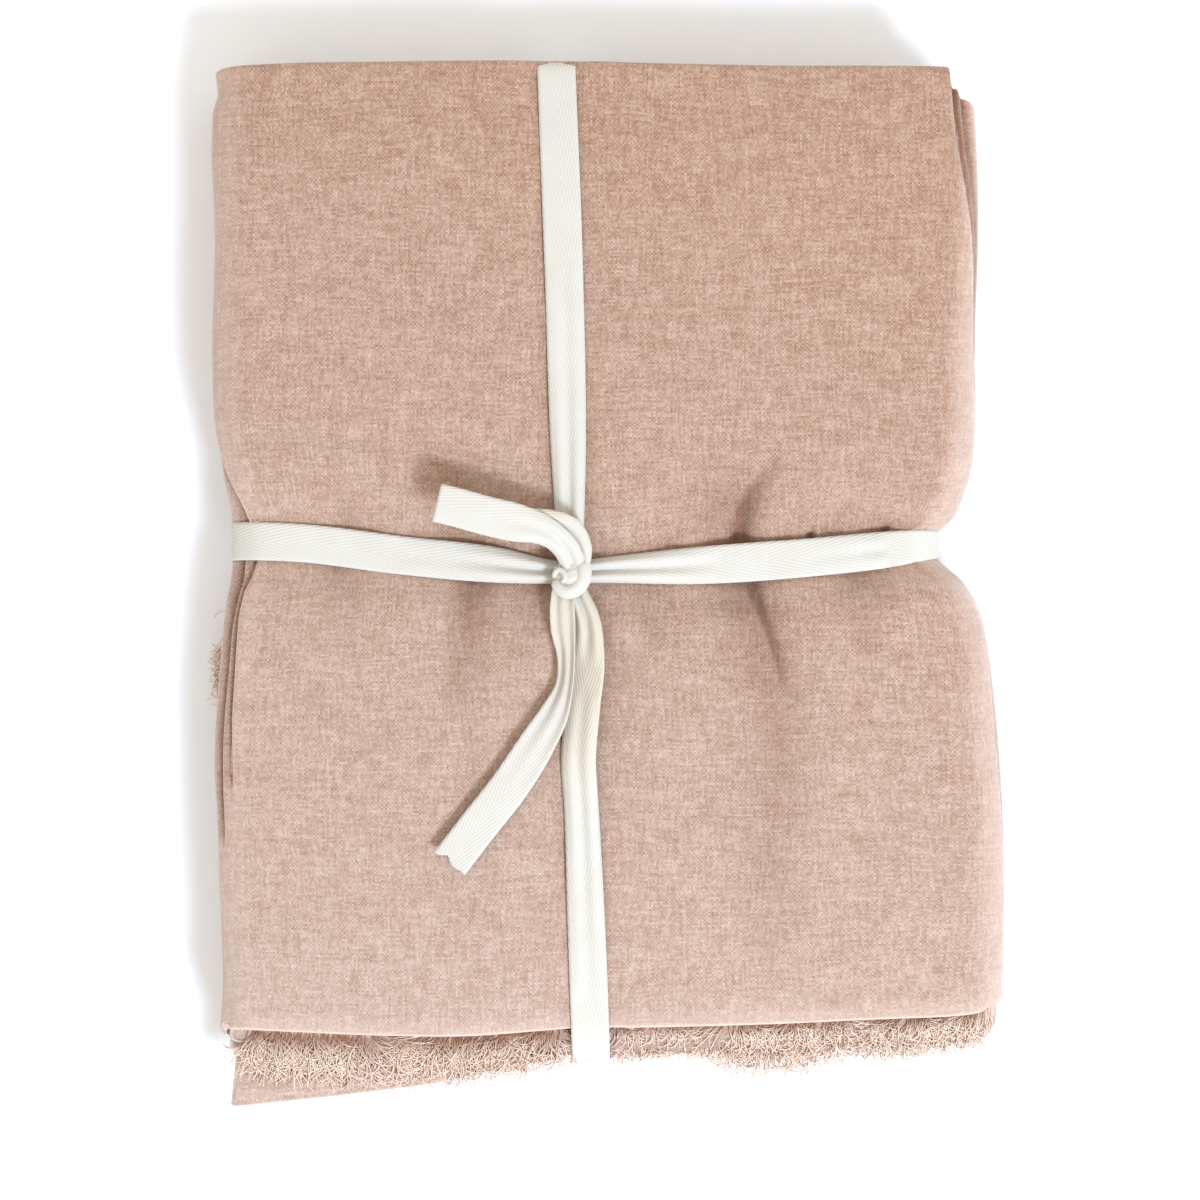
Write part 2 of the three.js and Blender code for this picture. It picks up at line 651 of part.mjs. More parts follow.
function lump(row) {
  const ball = new THREE.SphereGeometry(1, 10, 7);
  ball.scale(row.rx, row.ry, row.rz);
  ball.translate(row.x, row.y, row.z);
  return ball;
}

function tiedTape(pack) {
  return joined([
    tapeStrip(tapeRun(pack, crossRun), true),
    tapeStrip(tapeRun(pack, lengthRun), true),
    tapeStrip(tailStations(upperTail, tailSteps), false),
    tapeStrip(tailStations(lowerTail, tailSteps), false),
    ...knotRows.map(lump),
  ]);
}

// A repeatable number between 0 and 1 for a lock.
function scatter(seed) {
  const value = Math.sin(seed * 12.9898 + 4.1414) * 43758.5453;
  return value - Math.floor(value);
}

// A three-sided lock that tapers from its root to a point, through a few middles.
function lock(middles, side, width) {
  const last = middles.length - 1;
  const positions = [];
  const index = [];
  middles.slice(0, last).forEach((middle, i) => {
    const size = width * (1 - (lockTaper * i) / last);
    const corners = [
      middle.clone().addScaledVector(side, size / 2).addScaledVector(up, -size / 4),
      middle.clone().addScaledVector(side, -size / 2).addScaledVector(up, -size / 4),
      middle.clone().addScaledVector(up, size / 2.4),
    ];
    corners.forEach((c) => positions.push(c.x, c.y, c.z));
  });
  const tip = middles[last];
  positions.push(tip.x, tip.y, tip.z);
  index.push(0, 2, 1);
  for (let i = 0; i + 1 < last; i++) {
    for (let j = 0; j < 3; j++) {
      const k = (j + 1) % 3;
      const a = 3 * i + j;
      const b = 3 * i + k;
      index.push(a, b, b + 3, a, b + 3, a + 3);
    }
  }
  const ring = 3 * (last - 1);
  for (let j = 0; j < 3; j++) index.push(ring + j, ring + ((j + 1) % 3), 3 * last);
  return solidFrom(positions, index);
}

// Locks on a narrow backing. The backing has two long edges, from the cloth's side outwards, and the locks
// stand out from it along one direction.
function fringe(row, edges, roots, out, side, order) {
  const pieces = [closedSheet(edges(fringeThickness / 2), edges(-fringeThickness / 2))];
  roots.forEach((root, i) => {
    const seed = i + order * 100;
    const reach = row.reach * THREE.MathUtils.lerp(lockReach.least, lockReach.most, scatter(seed));
    const sway = row.lean * (scatter(seed + 31) - 0.5);
    const rise = row.rise * scatter(seed + 57);
    const bend = root.clone().addScaledVector(out, reach / 2).addScaledVector(side, sway / 4);
    const tip = root.clone().addScaledVector(out, reach).addScaledVector(side, sway);
    tip.z += rise;
    pieces.push(lock([root, bend, tip], side, lockWidth));
  });
  return joined(pieces);
}

// A fringe at the frayed end, just past the cloth's raw edge. Its locks leave room for the tape.
function frayedEnd(row, order) {
  const height = plyHeight(row.layer, row.ply);
  const near = -rawLine - clearance;
  const far = near - fringeBacking;
  const lines = [leftLine, ...panelLines, rightLine].filter((x) => x >= row.from);
  const edges = (lift) => lines.map((x) => [near, far].map((y) => settle(x, y, height + lift)));
  const tapeMiddle = between(lengthRows, "y", near, "x");
  const roots = evenly(row.from + lockInset, rightLine - lockInset, row.locks)
    .map((x) => pointOnLines(lines, x, (line) => settle(line, near - lockRoot, height)))
    .filter((root) => Math.abs(root.x - tapeMiddle) > tapeGap);
  return fringe(row, edges, roots, new THREE.Vector3(0, -1, 0), new THREE.Vector3(1, 0, 0), order);
}

// A point on the straight pieces between settled grid lines, so that it keeps to a faceted edge.
function pointOnLines(lines, at, place) {
  const i = Math.max(lines.findIndex((line) => line >= at), 1);
  return place(lines[i - 1]).lerp(place(lines[i]), (at - lines[i - 1]) / (lines[i] - lines[i - 1]));
}

// The tuft at the left, on the raw end of the second layer.
function frayedSide(row, order) {
  const height = plyHeight(2, 1.5);
  const near = freeLine - clearance;
  const far = near - fringeBacking;
  const lines = plyLines.filter((y) => y <= crossBed.low);
  const at = (x, y, lift) => pointOnLines(lines, y, (line) => settle(x, line, height + lift));
  const edges = (lift) => [row.start, row.end].map((y) => [near, far].map((x) => at(x, y, lift)));
  const inset = evenly(row.start + lockInset, row.end - lockInset, row.locks);
  const roots = inset.map((y) => at(near - lockRoot, y, 0));
  return fringe(row, edges, roots, new THREE.Vector3(-1, 0, 0), new THREE.Vector3(0, 1, 0), order);
}

function named(name, geometry, material) {
  const mesh = new THREE.Mesh(geometry, material);
  mesh.name = name;
  return mesh;
}

const part = new THREE.Group();
part.add(named("cloth", foldedCloth(), clothColour));
fringeRows.forEach((row, order) => part.add(named(row.name, frayedEnd(row, order), fringeColour)));
part.add(named(sideFringe.name, frayedSide(sideFringe, fringeRows.length), fringeColour));
part.add(named("tape", tiedTape([...part.children]), tapeColour));

// The origin is the middle of the whole pack's box, on the surface that it lies on.
const box = new THREE.Box3().setFromObject(part, true);
const middle = box.getCenter(new THREE.Vector3());
part.children.forEach((mesh) => mesh.position.set(-middle.x, -middle.y, -box.min.z));

export default part;
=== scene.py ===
"""A washed linen tablecloth, folded into a flat pack and tied in a cross with cotton tape.

The tables hold millimetres in the pack's own directions: +X is the wide fold's side, +Y the smooth end,
-Y the frayed end and +Z up. The finished meshes are in metres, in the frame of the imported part.
"""

import math

import bmesh
import bpy
import numpy as np
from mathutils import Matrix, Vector
from mathutils.bvhtree import BVHTree


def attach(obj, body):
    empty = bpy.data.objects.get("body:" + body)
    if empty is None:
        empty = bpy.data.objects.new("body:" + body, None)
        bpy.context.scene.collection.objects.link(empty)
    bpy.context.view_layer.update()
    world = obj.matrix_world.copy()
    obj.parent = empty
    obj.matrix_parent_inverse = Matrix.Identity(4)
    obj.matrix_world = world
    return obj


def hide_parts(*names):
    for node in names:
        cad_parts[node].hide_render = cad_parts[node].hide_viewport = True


bl_info = {
    "name": "Tied linen tablecloth",
    "version": (1, 0, 0),
    "blender": (4, 5, 0),
    "location": "3D View > Sidebar > Linen",
    "description": "Builds a folded linen tablecloth that is tied with cotton tape",
    "category": "Object",
}

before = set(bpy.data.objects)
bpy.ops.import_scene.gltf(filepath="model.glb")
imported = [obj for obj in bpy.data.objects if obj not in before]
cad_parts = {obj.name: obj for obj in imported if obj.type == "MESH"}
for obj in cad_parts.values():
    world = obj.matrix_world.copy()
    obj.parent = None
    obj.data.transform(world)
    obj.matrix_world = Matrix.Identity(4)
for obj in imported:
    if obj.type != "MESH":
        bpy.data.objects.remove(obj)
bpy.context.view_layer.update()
MM = 0.001
PACK_SHIFT = np.array([0.9459, -1.1546, 0.0])  # from the tables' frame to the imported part's


def columns(names, *rows):
    """A table as one array for each named column."""
    return dict(zip(names.split(), np.array(rows, float).T))


# The folded cloth
PLY_THICKNESS = 1.0
PLY_PITCH = 1.35
LAYER_PITCH = 5.6
LAYERS = 8
FOLD_LINE = 172.0
RAW_LINE = 182.5
SMOOTH_LINE = 200.8
LEFT_LINE = -144.0
RIGHT_LINE = 133.4
FREE_LINE = -150.0
RIGHT_SQUASH = 0.75
EDGE_REACH = 62.0
UNDERCUT = 0.095
TUCK = 2.3
SLIP_REACH = 92.0
BUNDLE = 3 * PLY_PITCH + PLY_THICKNESS
FIRST_LAYER = BUNDLE / 2
PACK_HEIGHT = (LAYERS - 1) * LAYER_PITCH + BUNDLE
LEFT_EDGE = LEFT_LINE - 1.5 * LAYER_PITCH - BUNDLE / 2
RIGHT_EDGE = RIGHT_LINE + (3.5 * LAYER_PITCH + BUNDLE / 2) * RIGHT_SQUASH

# The tape and the beds that it presses into the underside
TAPE_WIDTH = 15.0
LENGTH_BED = {"from": -75.0, "low": -21.0, "high": -6.0, "to": 38.0}
CROSS_BED = {"from": -42.0, "low": 5.5, "high": 20.5, "to": 62.0}
LENGTH_TROUGH = 1.3
CROSS_TROUGH = 2.45

SIDES = columns(
    "y left right left_step right_step low_out",
    (-205, -158.5, 156.5, 0, 0, 0),
    (-186, -156.5, 157, 1, 0, 1),
    (-168, -155, 157.5, 3, 0, 1.5),
    (-110, -155.8, 158.3, 2.5, 0, 1.5),
    (-61, -157, 155.8, 2.5, 0, 1.5),
    (-37, -155.8, 153.4, 3.5, 0, 1.5),
    (-21, -154.9, 151.2, 4.5, 0, 1.2),
    (-11, -154.2, 148.8, 5.2, 0, 1),
    (-2, -153.4, 144.6, 6.2, 1, 0.4),
    (3, -152.7, 141.0, 7, 1, 0),
    (6.5, -152.2, 137.2, 6.5, 2, 0),
    (9.8, -151.8, 133.2, 6, 2, 0),
    (12.8, -151.5, 131.2, 6, 2, 0),
    (20.8, -151.2, 131.2, 4, 2, 0),
    (23.2, -151.2, 134.2, 4, 2, 0),
    (26.4, -151.2, 137.6, 4, 2, 0),
    (32, -151.5, 140.8, 4, 2, 0),
    (38.6, -153.2, 143.2, 4, 2, 0),
    (47.4, -154.6, 145.6, 3, 2, 0),
    (60, -156.3, 146.8, 2, 2, 0),
    (90, -157.6, 147.2, 2, 2, 0),
    (140, -155.6, 147.2, 0, -2, 0),
    (178, -156.8, 144.8, 0, -4.6, 0),
    (190, -156.2, 144, 0, -5, 0),
    (197, -154.0, 143.8, 0, -5, 0),
    (203, -156, 143.8, 0, -5, 0),
)
ENDS = columns(
    "x smooth frayed",
    (-155, 0.5, 0),
    (-120, 2.2, -1.5),
    (-90, 2.6, -2.7),
    (-60, 3, -3.1),
    (-12, 3, 0),
    (20, 2, 0.6),
    (60, 1.2, 1.6),
    (110, 1, 4),
    (132, 0.6, 5.2),
    (150, -0.6, 8),
)
CROSS_LINE = columns(
    "x y width tilt",
    (-160, 18.2, 15, 0),
    (-120, 17, 15, 0),
    (-81, 12.2, 15, 0),
    (-42, 8.2, 13.5, 0),
    (-24, 5.9, 9.5, 0),
    (-15, 5.4, 8.2, 0),
    (-4, 6.2, 9.5, 0),
    (36, 8.3, 14.6, 0),
    (80, 11.5, 15, 0),
    (112, 14.8, 14, 0),
    (131, 17, 11.2, 0),
    (170, 17.2, 11.2, 0),
)
LENGTH_LINE = columns(
    "y x width tilt",
    (-205, -6.2, 15, 0),
    (-130, -8.8, 14.6, 0),
    (-84, -10.8, 13.4, 4),
    (-68, -11.8, 13.6, 16),
    (-48, -10.2, 13.4, 24),
    (-28, -8.3, 13.2, 26),
    (-12, -8.8, 10, 18),
    (-2, -12.5, 8, 8),
    (6, -15, 7.5, 0),
    (16, -15, 9.5, 0),
    (41, -15.5, 12.6, 0),
    (126, -17.6, 15, 0),
    (205, -20.6, 15, 0),
)
CREASES = (
    # width to the left and right of the line, and its points as (x, y, depth)
    (1.5, 4.2, ((50.4, 12, 5.2), (50.2, 20, 5), (51.2, 29, 4), (55, 37, 2.8), (62, 46, 1.6), (70, 55, 0))),
    (1.2, 3, ((54, 10, 4.6), (54.4, 2, 4.6), (57.5, -5.5, 4), (62, -17, 3), (67, -33, 1.6), (71, -46, 0))),
    (14, 12, ((49, 34, 2.0), (50, 16, 3.0), (54, -4, 2.6), (66, -44, 1.6), (63, -125, 0.8), (60, -160, 0))),
    (5.5, 9, ((-54, 4, 3.4), (-56, -12, 3), (-59, -32, 1.6), (-62, -60, 0))),
    (5, 6, ((86, 16, 1.6), (90, 28, 1.1), (98, 42, 0))),
    (5, 6, ((68, 14, 1.4), (74, 27, 1), (84, 40, 0))),
    (12, 12, ((-66, 56, 0), (-60, 34, 1.4), (-57, 20, 1.6))),
    (8, 8, ((106, 34, 0), (104, 20, 1.8), (103, 6, 1.4), (104, -10, 0))),
    (1.6, 1.6, ((79, 15, 4), (79.4, 20, 3.2), (80.5, 24, 0))),
    (1.4, 1.4, ((108.6, 17, 4), (109, 22.4, 3), (110, 26, 0))),
    (6, 7, ((24, 14, 1.2), (27, 24, 0.9), (33, 38, 0))),
    (7, 6, ((-98, 20, 1.0), (-103, 30, 0.8), (-112, 44, 0))),
    (8, 8, ((94, 4, 1.2), (99, -14, 0.9), (108, -36, 0))),
    (7, 6, ((-28, 0, 1.2), (-31, -14, 0.9), (-36, -30, 0))),
    (6, 7, ((14, 2, 1.1), (18, -12, 0.9), (26, -30, 0))),
    (7, 7, ((-106, 6, 1.2), (-104, -8, 0.8), (-100, -26, 0))),
)


def between(rows, key, at, column):
    """A column's value between a table's rows, on a smooth curve through them."""
    knots, values = rows[key], rows[column]
    slopes = np.gradient(values, knots)
    at = np.clip(at, knots[0], knots[-1])
    i = np.clip(np.searchsorted(knots, at, side="right") - 1, 0, len(knots) - 2)
    gap = knots[i + 1] - knots[i]
    t = (at - knots[i]) / gap
    rise = t * t * (3 - 2 * t)
    bow = t * (1 - t) ** 2 * slopes[i] * gap - t * t * (1 - t) * slopes[i + 1] * gap
    return values[i] + (values[i + 1] - values[i]) * rise + bow


def fade(distance, reach):
    """One at the place itself and nothing at the reach beyond it."""
    share = np.clip(distance / reach, 0, 1)
    return (1 - share) ** 2 * (1 + 2 * share)


def layer_height(layer):
    """The middle height of a layer, or of the space between two."""
    return FIRST_LAYER + (layer - 1) * LAYER_PITCH


def ply_height(layer, ply):
    """The middle height of a ply. Every second layer is turned over."""
    facing = 1 if layer % 2 == 0 else -1
    return layer_height(layer) + facing * ply * PLY_PITCH


SLIPS = (
    # lowest ply, highest ply, and the slip at the left, in the middle and at the right
    (ply_height(8, -1.5), ply_height(8, -1.5), -3, -2, -2),
    (ply_height(6, 0.5), ply_height(7, 0.5), -34, -10, 2),
    (ply_height(4, 0.5), ply_height(5, 0.5), -7, -3, 4),
    (ply_height(2, 0.5), ply_height(3, 0.5), 5, -4, -6),
    (ply_height(1, 1.5), ply_height(1, 0.5), -3, -6, 2),
)
SLIP_MARGIN = 0.1
SLIP_RAMP = 0.2


def bed_share(bed, at):
    """All of a bed's rise between its inner lines, and none at its outer ones."""
    below = fade(bed["low"] - at, bed["low"] - bed["from"])
    above = fade(at - bed["high"], bed["to"] - bed["high"])
    return np.where(at < bed["low"], below, above)


def slip_of_height(x, z):
    """The slip along the pack of the plies at one height."""
    across = 2 * (x - LEFT_EDGE) / (RIGHT_EDGE - LEFT_EDGE)
    slip = np.zeros_like(z)
    for low, high, left, middle, right in SLIPS:
        rightwards = middle + (right - middle) * (across - 1)
        reach = np.where(across < 1, left + (middle - left) * across, rightwards)
        outside = np.maximum(low - z, z - high) - PLY_THICKNESS / 2 - SLIP_MARGIN
        slip = slip + reach * fade(outside, SLIP_RAMP)
    return slip


def slip_at(x, z):
    """The slip at a point. Round a fold it passes evenly from the slip above to the slip below."""
    right = x > RIGHT_LINE
    centre_x = np.where(right, RIGHT_LINE, LEFT_LINE)
    centre_z = np.where(z > layer_height(4.5), layer_height(6.5), layer_height(3.5))
    centre_z = np.where(right, layer_height(4.5), centre_z)
    folded = right | ((x < LEFT_LINE) & (z > layer_height(2.5)))
    radius = np.maximum(np.hypot(x - centre_x, z - centre_z), 1e-6)
    share = 0.5 + 0.5 * (z - centre_z) / radius
    turned = share * slip_of_height(x, centre_z + radius) + (1 - share) * slip_of_height(x, centre_z - radius)
    return np.where(folded, turned, slip_of_height(x, z))


# Where the edge of one fold lies beside the next: the side, the depth, how wide the valley is outside the
# edge, and the edge's line as places (y, inwards). Inwards is measured over the surface from the line where
# the fold begins.
FOLD_EDGES = (
    ("left", 2.6, 2.4, ((-70, -4), (-50, -5.6), (-31, -6.3), (-12, -7.6), (0, -7.1), (10, -3.5), (16, -2.6))),
    ("left", 3, 2.8, ((-90, -9), (-50, -10), (-31, -10.1), (-16, -10.9), (-3, -10.2), (10, -9.3), (16, -9))),
    ("left", 2.6, 3.0, ((20, -4.5), (25, -5.5), (32, -8.5), (45, -13), (56, -15.5))),
    ("left", 1.4, 4.0, ((-190, -14.5), (-150, -13.5), (-110, -14), (-90, -15.5))),
    ("right", 3.8, 4.5, ((90, -26), (120, -21), (142, -16), (162, -10), (182, -4.6), (203, -2.4))),
    ("right", 2.8, 4.5, ((110, -27), (142, -22), (162, -16), (182, -11), (203, -8.4))),
    ("right", 1.8, 6.0, ((-190, -24), (-120, -26), (-60, -22), (-20, -25))),
)
EDGE_ENDS = 14.0
EDGE_SHARP = 0.55
FOLD_SIDES = {
    # where the outer fold begins, its middle height and its radius
    "left": (LEFT_LINE, layer_height(6.5), 1.5 * LAYER_PITCH + BUNDLE / 2),
    "right": (RIGHT_LINE, layer_height(4.5), 3.5 * LAYER_PITCH + BUNDLE / 2),
}
CORNER_STEPS = ((2.6, 8.0), (8.6, 3.4))
CORNER_RAMP = 1.3
CORNER_REACH = 30.0


def past_fold(side, x, z):
    """How far points are past the line where a side's outer fold begins, and inwards of it."""
    start, centre, outer = FOLD_SIDES[side]
    past = (start - x) if side == "left" else (x - start)
    return past, np.where(past > 0, -outer * np.arctan2(past, z - centre), -past)


def edge_at(line, y):
    """How much of a fold's edge there is at each place along the pack, and where its line lies."""
    places, lines = np.array(line).T
    run = fade(places[0] - y, EDGE_ENDS) * fade(y - places[-1], EDGE_ENDS)
    return run, np.interp(y, places, lines)


def edged(x, y, z):
    """Presses the valleys beside the fold edges into the side folds."""
    for side, depth, width, line in FOLD_EDGES:
        start, centre, outer = FOLD_SIDES[side]
        past, inwards = past_fold(side, x, z)
        run, edge = edge_at(line, y)
        beyond = edge - inwards
        pressed = depth * run * np.exp(-np.abs(beyond) / np.where(beyond > 0, width, EDGE_SHARP))
        dx, dz = x - start, z - centre
        folded = past > 0
        radius = np.maximum(np.hypot(dx, dz), 1e-6)
        share = np.clip(np.where(folded, radius, dz) / outer, 0, 1) ** 3
        near = (z > layer_height(4.5)) if side == "left" else (z > 0)
        pressed = np.where(near, pressed * share, 0)
        x = x - np.where(folded, dx / radius * pressed, 0)
        z = z - np.where(folded, dz / radius * pressed, pressed)
    return x, z


def corner_pull(x, z):
    """How far the layers under the top one stop short of it at the smooth end, by the wide fold."""
    dx, dz = x - RIGHT_LINE, z - layer_height(4.5)
    radius = np.hypot(dx, dz)
    over = radius * np.arctan2(np.maximum(dx, 0), dz)
    wrap = radius > 3 * LAYER_PITCH
    pull = np.zeros_like(radius)
    for place, step in CORNER_STEPS:
        turned = np.where(wrap, 1 - fade(over - place, CORNER_RAMP), 1.0)
        lower = 1 - fade(layer_height(LAYERS - 0.5) + 0.3 - z, 0.6)
        pull = pull + step * np.where(dx > 0, turned, lower)
    return pull


CREASE_LIMIT = 5.2


def creased(x, y):
    """How deep the drawn creases press at each place."""
    total = np.zeros_like(x)
    for left, right, points in CREASES:
        deepest = np.zeros_like(x)
        for (x0, y0, depth0), (x1, y1, depth1) in zip(points, points[1:]):
            dx, dy = x1 - x0, y1 - y0
            held = np.clip(((x - x0) * dx + (y - y0) * dy) / (dx * dx + dy * dy), 0, 1)
            away = np.hypot(x - x0 - dx * held, y - y0 - dy * held)
            width = np.where((x - x0) * abs(dy) - (y - y0) * dx * np.sign(dy) < 0, left, right)
            depth = depth0 + (depth1 - depth0) * held
            deepest = np.maximum(deepest, depth * np.exp(-((away / width) ** 2)))
        total = total + deepest
    return np.minimum(total, CREASE_LIMIT)


def ripple(x, y):
    """The washed linen's faint waves."""
    return (
        0.22 * np.sin(x / 19 + 1.4 * np.sin(y / 31))
        + 0.18 * np.sin(y / 14 + 1.7 * np.sin(x / 27) + 2)
        + 0.1 * np.sin((x + y) / 9.3 + np.sin(x / 13))
        + 0.12 * np.sin((x - 1.6 * y) / 16 + 0.7)
    )


# How far the tape and the edges thin the pack, as shares of its height. A run of tape makes a wide dip, with
# its share and reach, and a close one, with its share, its start and its reach.
WAIST_DEPTH = 0.1
WAIST_DIPS = (0.75, 26.0, 0.55, 7.5, 15.0)
SPINE_DEPTH = 0.025
SPINE_DIPS = (1.0, 14.0, 0.7, 6.0, 9.0)
END_DEPTH = 0.05
SMOOTH_REACH = 30.0
FRAYED_REACH = 40.0
SIDE_DEPTH = 0.04
LEFT_REACH = 14.0
RIGHT_REACH = 20.0
TUCK_REACH = 34.0


def dips(away, wide_share, wide, close_share, start, close):
    """How much a run of tape presses at a distance from its middle."""
    return wide_share * np.exp(-((away / wide) ** 2)) + close_share * fade(away - start, close)


def settle(x, y, z):
    """Moves points of the evenly folded pack to where they lie in the tied one."""
    slip = slip_at(x, z)
    level = z / PACK_HEIGHT
    pulled = corner_pull(x, z)
    x, z = edged(x, y, z)
    squashed = np.where(x > RIGHT_LINE, RIGHT_LINE + (x - RIGHT_LINE) * RIGHT_SQUASH, x)
    pull = pulled * fade(RIGHT_LINE + 2 - squashed, CORNER_REACH)
    smooth_shift = between(ENDS, "x", squashed, "smooth") - pull
    frayed_shift = between(ENDS, "x", squashed, "frayed") + slip
    placed_y = y + smooth_shift * fade(SMOOTH_LINE - y, EDGE_REACH)
    placed_y = placed_y + frayed_shift * fade(y + FOLD_LINE, SLIP_REACH)

    left_move = between(SIDES, "y", placed_y, "left") - LEFT_EDGE
    right_move = between(SIDES, "y", placed_y, "right") - RIGHT_EDGE
    left_move = left_move + between(SIDES, "y", placed_y, "left_step") * level**3
    left_move = left_move - between(SIDES, "y", placed_y, "low_out") * fade(level - 0.3, 0.25)
    right_move = right_move - between(SIDES, "y", placed_y, "right_step") * level**2
    placed_x = squashed + left_move * fade(squashed - LEFT_EDGE, EDGE_REACH)
    placed_x = placed_x + right_move * fade(RIGHT_EDGE - squashed, EDGE_REACH)

    tucked = fade(z - ply_height(LAYERS, 0), 0.2) * (1 - fade(-FOLD_LINE + 1 - y, 6))
    placed_x = placed_x + TUCK * tucked * fade(placed_x - LEFT_EDGE, TUCK_REACH)
    from_cross = np.abs(placed_y - between(CROSS_LINE, "x", placed_x, "y"))
    from_length = np.abs(placed_x - between(LENGTH_LINE, "y", placed_y, "x"))
    ends = fade(SMOOTH_LINE - placed_y, SMOOTH_REACH) + fade(placed_y + RAW_LINE, FRAYED_REACH)
    sides = fade(placed_x - LEFT_EDGE, LEFT_REACH) + 0.5 * fade(RIGHT_EDGE - placed_x, RIGHT_REACH)
    thinned = WAIST_DEPTH * dips(from_cross, *WAIST_DIPS) + SPINE_DEPTH * dips(from_length, *SPINE_DIPS)
    placed_z = z * (1 - thinned - END_DEPTH * ends - SIDE_DEPTH * sides)
    below = fade(z - ply_height(LAYERS, -0.5) - PLY_THICKNESS / 2 - 0.05, 0.3)
    placed_z = placed_z * (1 - UNDERCUT * below * (1 - fade(-FOLD_LINE + 3 - y, 5)))
    placed_z = placed_z - creased(placed_x, placed_y) * level
    placed_z = placed_z + ripple(placed_x, placed_y) * level**3
    length_part = LENGTH_TROUGH * bed_share(LENGTH_BED, placed_x)
    cross_part = CROSS_TROUGH * bed_share(CROSS_BED, placed_y)
    trough = np.maximum(length_part, cross_part) + np.minimum(length_part, cross_part) / 6
    placed_z = placed_z + trough * (1 - level) ** 2
    return np.stack([placed_x, placed_y, placed_z], axis=-1)


# Painted shade on the linen: a fold valley or crease this deep gets the full painted shade, and beside the
# tape it gets this share.
VALLEY_SHADE_DEPTH = 2.0
CREASE_SHADE_DEPTH = 4.5
BESIDE_SHADE = 0.3
# Painted highlights on the linen's fold edges, and the width of a ridge's highlight.
RIDGE_HIGHLIGHT = 0.8
RIDGE_WIDTH = 0.9
RIM_HIGHLIGHT = 0.85
PANEL_HIGHLIGHT = 0.3
LEFT_FOLD_HIGHLIGHT = 0.22
RIGHT_FOLD_HIGHLIGHT = 0.25
SLIP_HIGHLIGHT = 0.5


def painted_shade_and_highlight_at(x, y, z, places, outermost):
    """The painted shade at each point, in fold valleys, creases, beside the tape and under the top fold at
    the frayed end, and below nothing where a fold's edge has a painted highlight.
    """
    level = z / PACK_HEIGHT
    pressed_x, pressed_z = edged(x, y, z)
    # Painted shade where shade falls: in the valleys beside the fold edges, in creases, beside the tape and
    # on the plies under the top fold at the frayed end.
    valley = np.hypot(pressed_x - x, pressed_z - z) / VALLEY_SHADE_DEPTH
    crease = np.clip(creased(places[..., 0], places[..., 1]) / CREASE_SHADE_DEPTH, 0, 1) * level
    crossing = np.abs(places[..., 1] - between(CROSS_LINE, "x", places[..., 0], "y"))
    running = np.abs(places[..., 0] - between(LENGTH_LINE, "y", places[..., 1], "x"))
    beside = np.maximum(fade(crossing - 7, 4), fade(running - 6, 4)) * level**6
    under = fade(np.abs(y + FOLD_LINE + 4) - 3, 6) * (1 - outermost) * (z > ply_height(8, -1.5) - 1)
    painted_shade = np.clip(valley + crease + BESIDE_SHADE * beside + under, 0, 1)

    # Painted highlights: on the ridges by the left fold edges, on the top fold's edge at the frayed end, on
    # the side folds and on the slipped ply's fold.
    ridge = np.zeros_like(x)
    for side, _, _, line in FOLD_EDGES:
        if side == "left":
            run, edge = edge_at(line, y)
            past_edge = past_fold(side, x, z)[1] - edge - RIDGE_WIDTH
            ridge = np.maximum(ridge, run * np.exp(-((past_edge / RIDGE_WIDTH) ** 2)))
    ridge = np.where(z > layer_height(5), ridge, 0)
    panel_rim_highlight = np.maximum(RIM_HIGHLIGHT * fade(y + FOLD_LINE + 0.9, 1.3), PANEL_HIGHLIGHT * fade(y + FOLD_LINE, 9))
    panel_rim_highlight = panel_rim_highlight * outermost * (z > layer_height(LAYERS))
    folded = LEFT_FOLD_HIGHLIGHT * fade(x - LEFT_LINE + 4, 8) + RIGHT_FOLD_HIGHLIGHT * fade(RIGHT_LINE + 12 - x, 10)
    slipped_ply_highlight = SLIP_HIGHLIGHT * fade(y + FOLD_LINE + 3, 3) * fade(np.abs(z - layer_height(7)) - 2, 1)
    return painted_shade - np.max([RIDGE_HIGHLIGHT * ridge, panel_rim_highlight, folded, slipped_ply_highlight], axis=0)


def evenly(start, end, step):
    """Places from one line to another, about a step apart."""
    return np.linspace(start, end, max(2, round(abs(end - start) / step) + 1))


def finer(lines, low, high, step):
    """The lines again, with closer ones between two places."""
    rising = lines if lines[0] < lines[-1] else lines[::-1]
    kept = rising[(rising < low) | (rising > high)]
    merged = np.sort(np.concatenate([kept, evenly(low, high, step)]))
    return merged if lines[0] < lines[-1] else merged[::-1]


def straight(lines, height, facing):
    """Stations along a straight run: place, height and normal."""
    lines = np.asarray(lines, float)
    level = np.zeros_like(lines)
    return np.stack([lines, level + height, level, level + facing], axis=1)


def bend(centre_a, centre_b, radius, start, end, steps, shown=None):
    """Stations round a fold, without its two ends. Four in five lie where it shows, at its start or end."""
    share = np.linspace(0, 1, steps + 1)[1:-1]
    if shown == "start":
        share = np.interp(share, (0, 0.8, 1), (0, SHOWN_TURN, 1))
    if shown == "end":
        share = np.interp(share, (0, 0.2, 1), (0, 1 - SHOWN_TURN, 1))
    angle = np.radians(start + (end - start) * share)
    turn = math.copysign(1, end - start)
    a, b = np.cos(angle), np.sin(angle)
    return np.stack([centre_a + radius * a, centre_b + radius * b, turn * a, turn * b], axis=1)


PANEL_STEPS = {8: 5.2, 1: 19.0}
HIDDEN_STEP = 34.0
FINE_COLUMNS = ((LEFT_LINE, LEFT_LINE + 7, 0.9), (44, 68, 1.1), (77, 82, 0.9), (106, 111, 0.9))
RIGHT_TURNS = ((1, 8, 46), (5, 4, 5), (3, 6, 6), (7, 2, 8))
LEFT_TURNS = ((8, 5, 42), (4, 3, 8), (6, 7, 5))
SHOWN_TURN = 0.42
LAYER_ORDER = (1, 8, 5, 4, 3, 6, 7, 2)


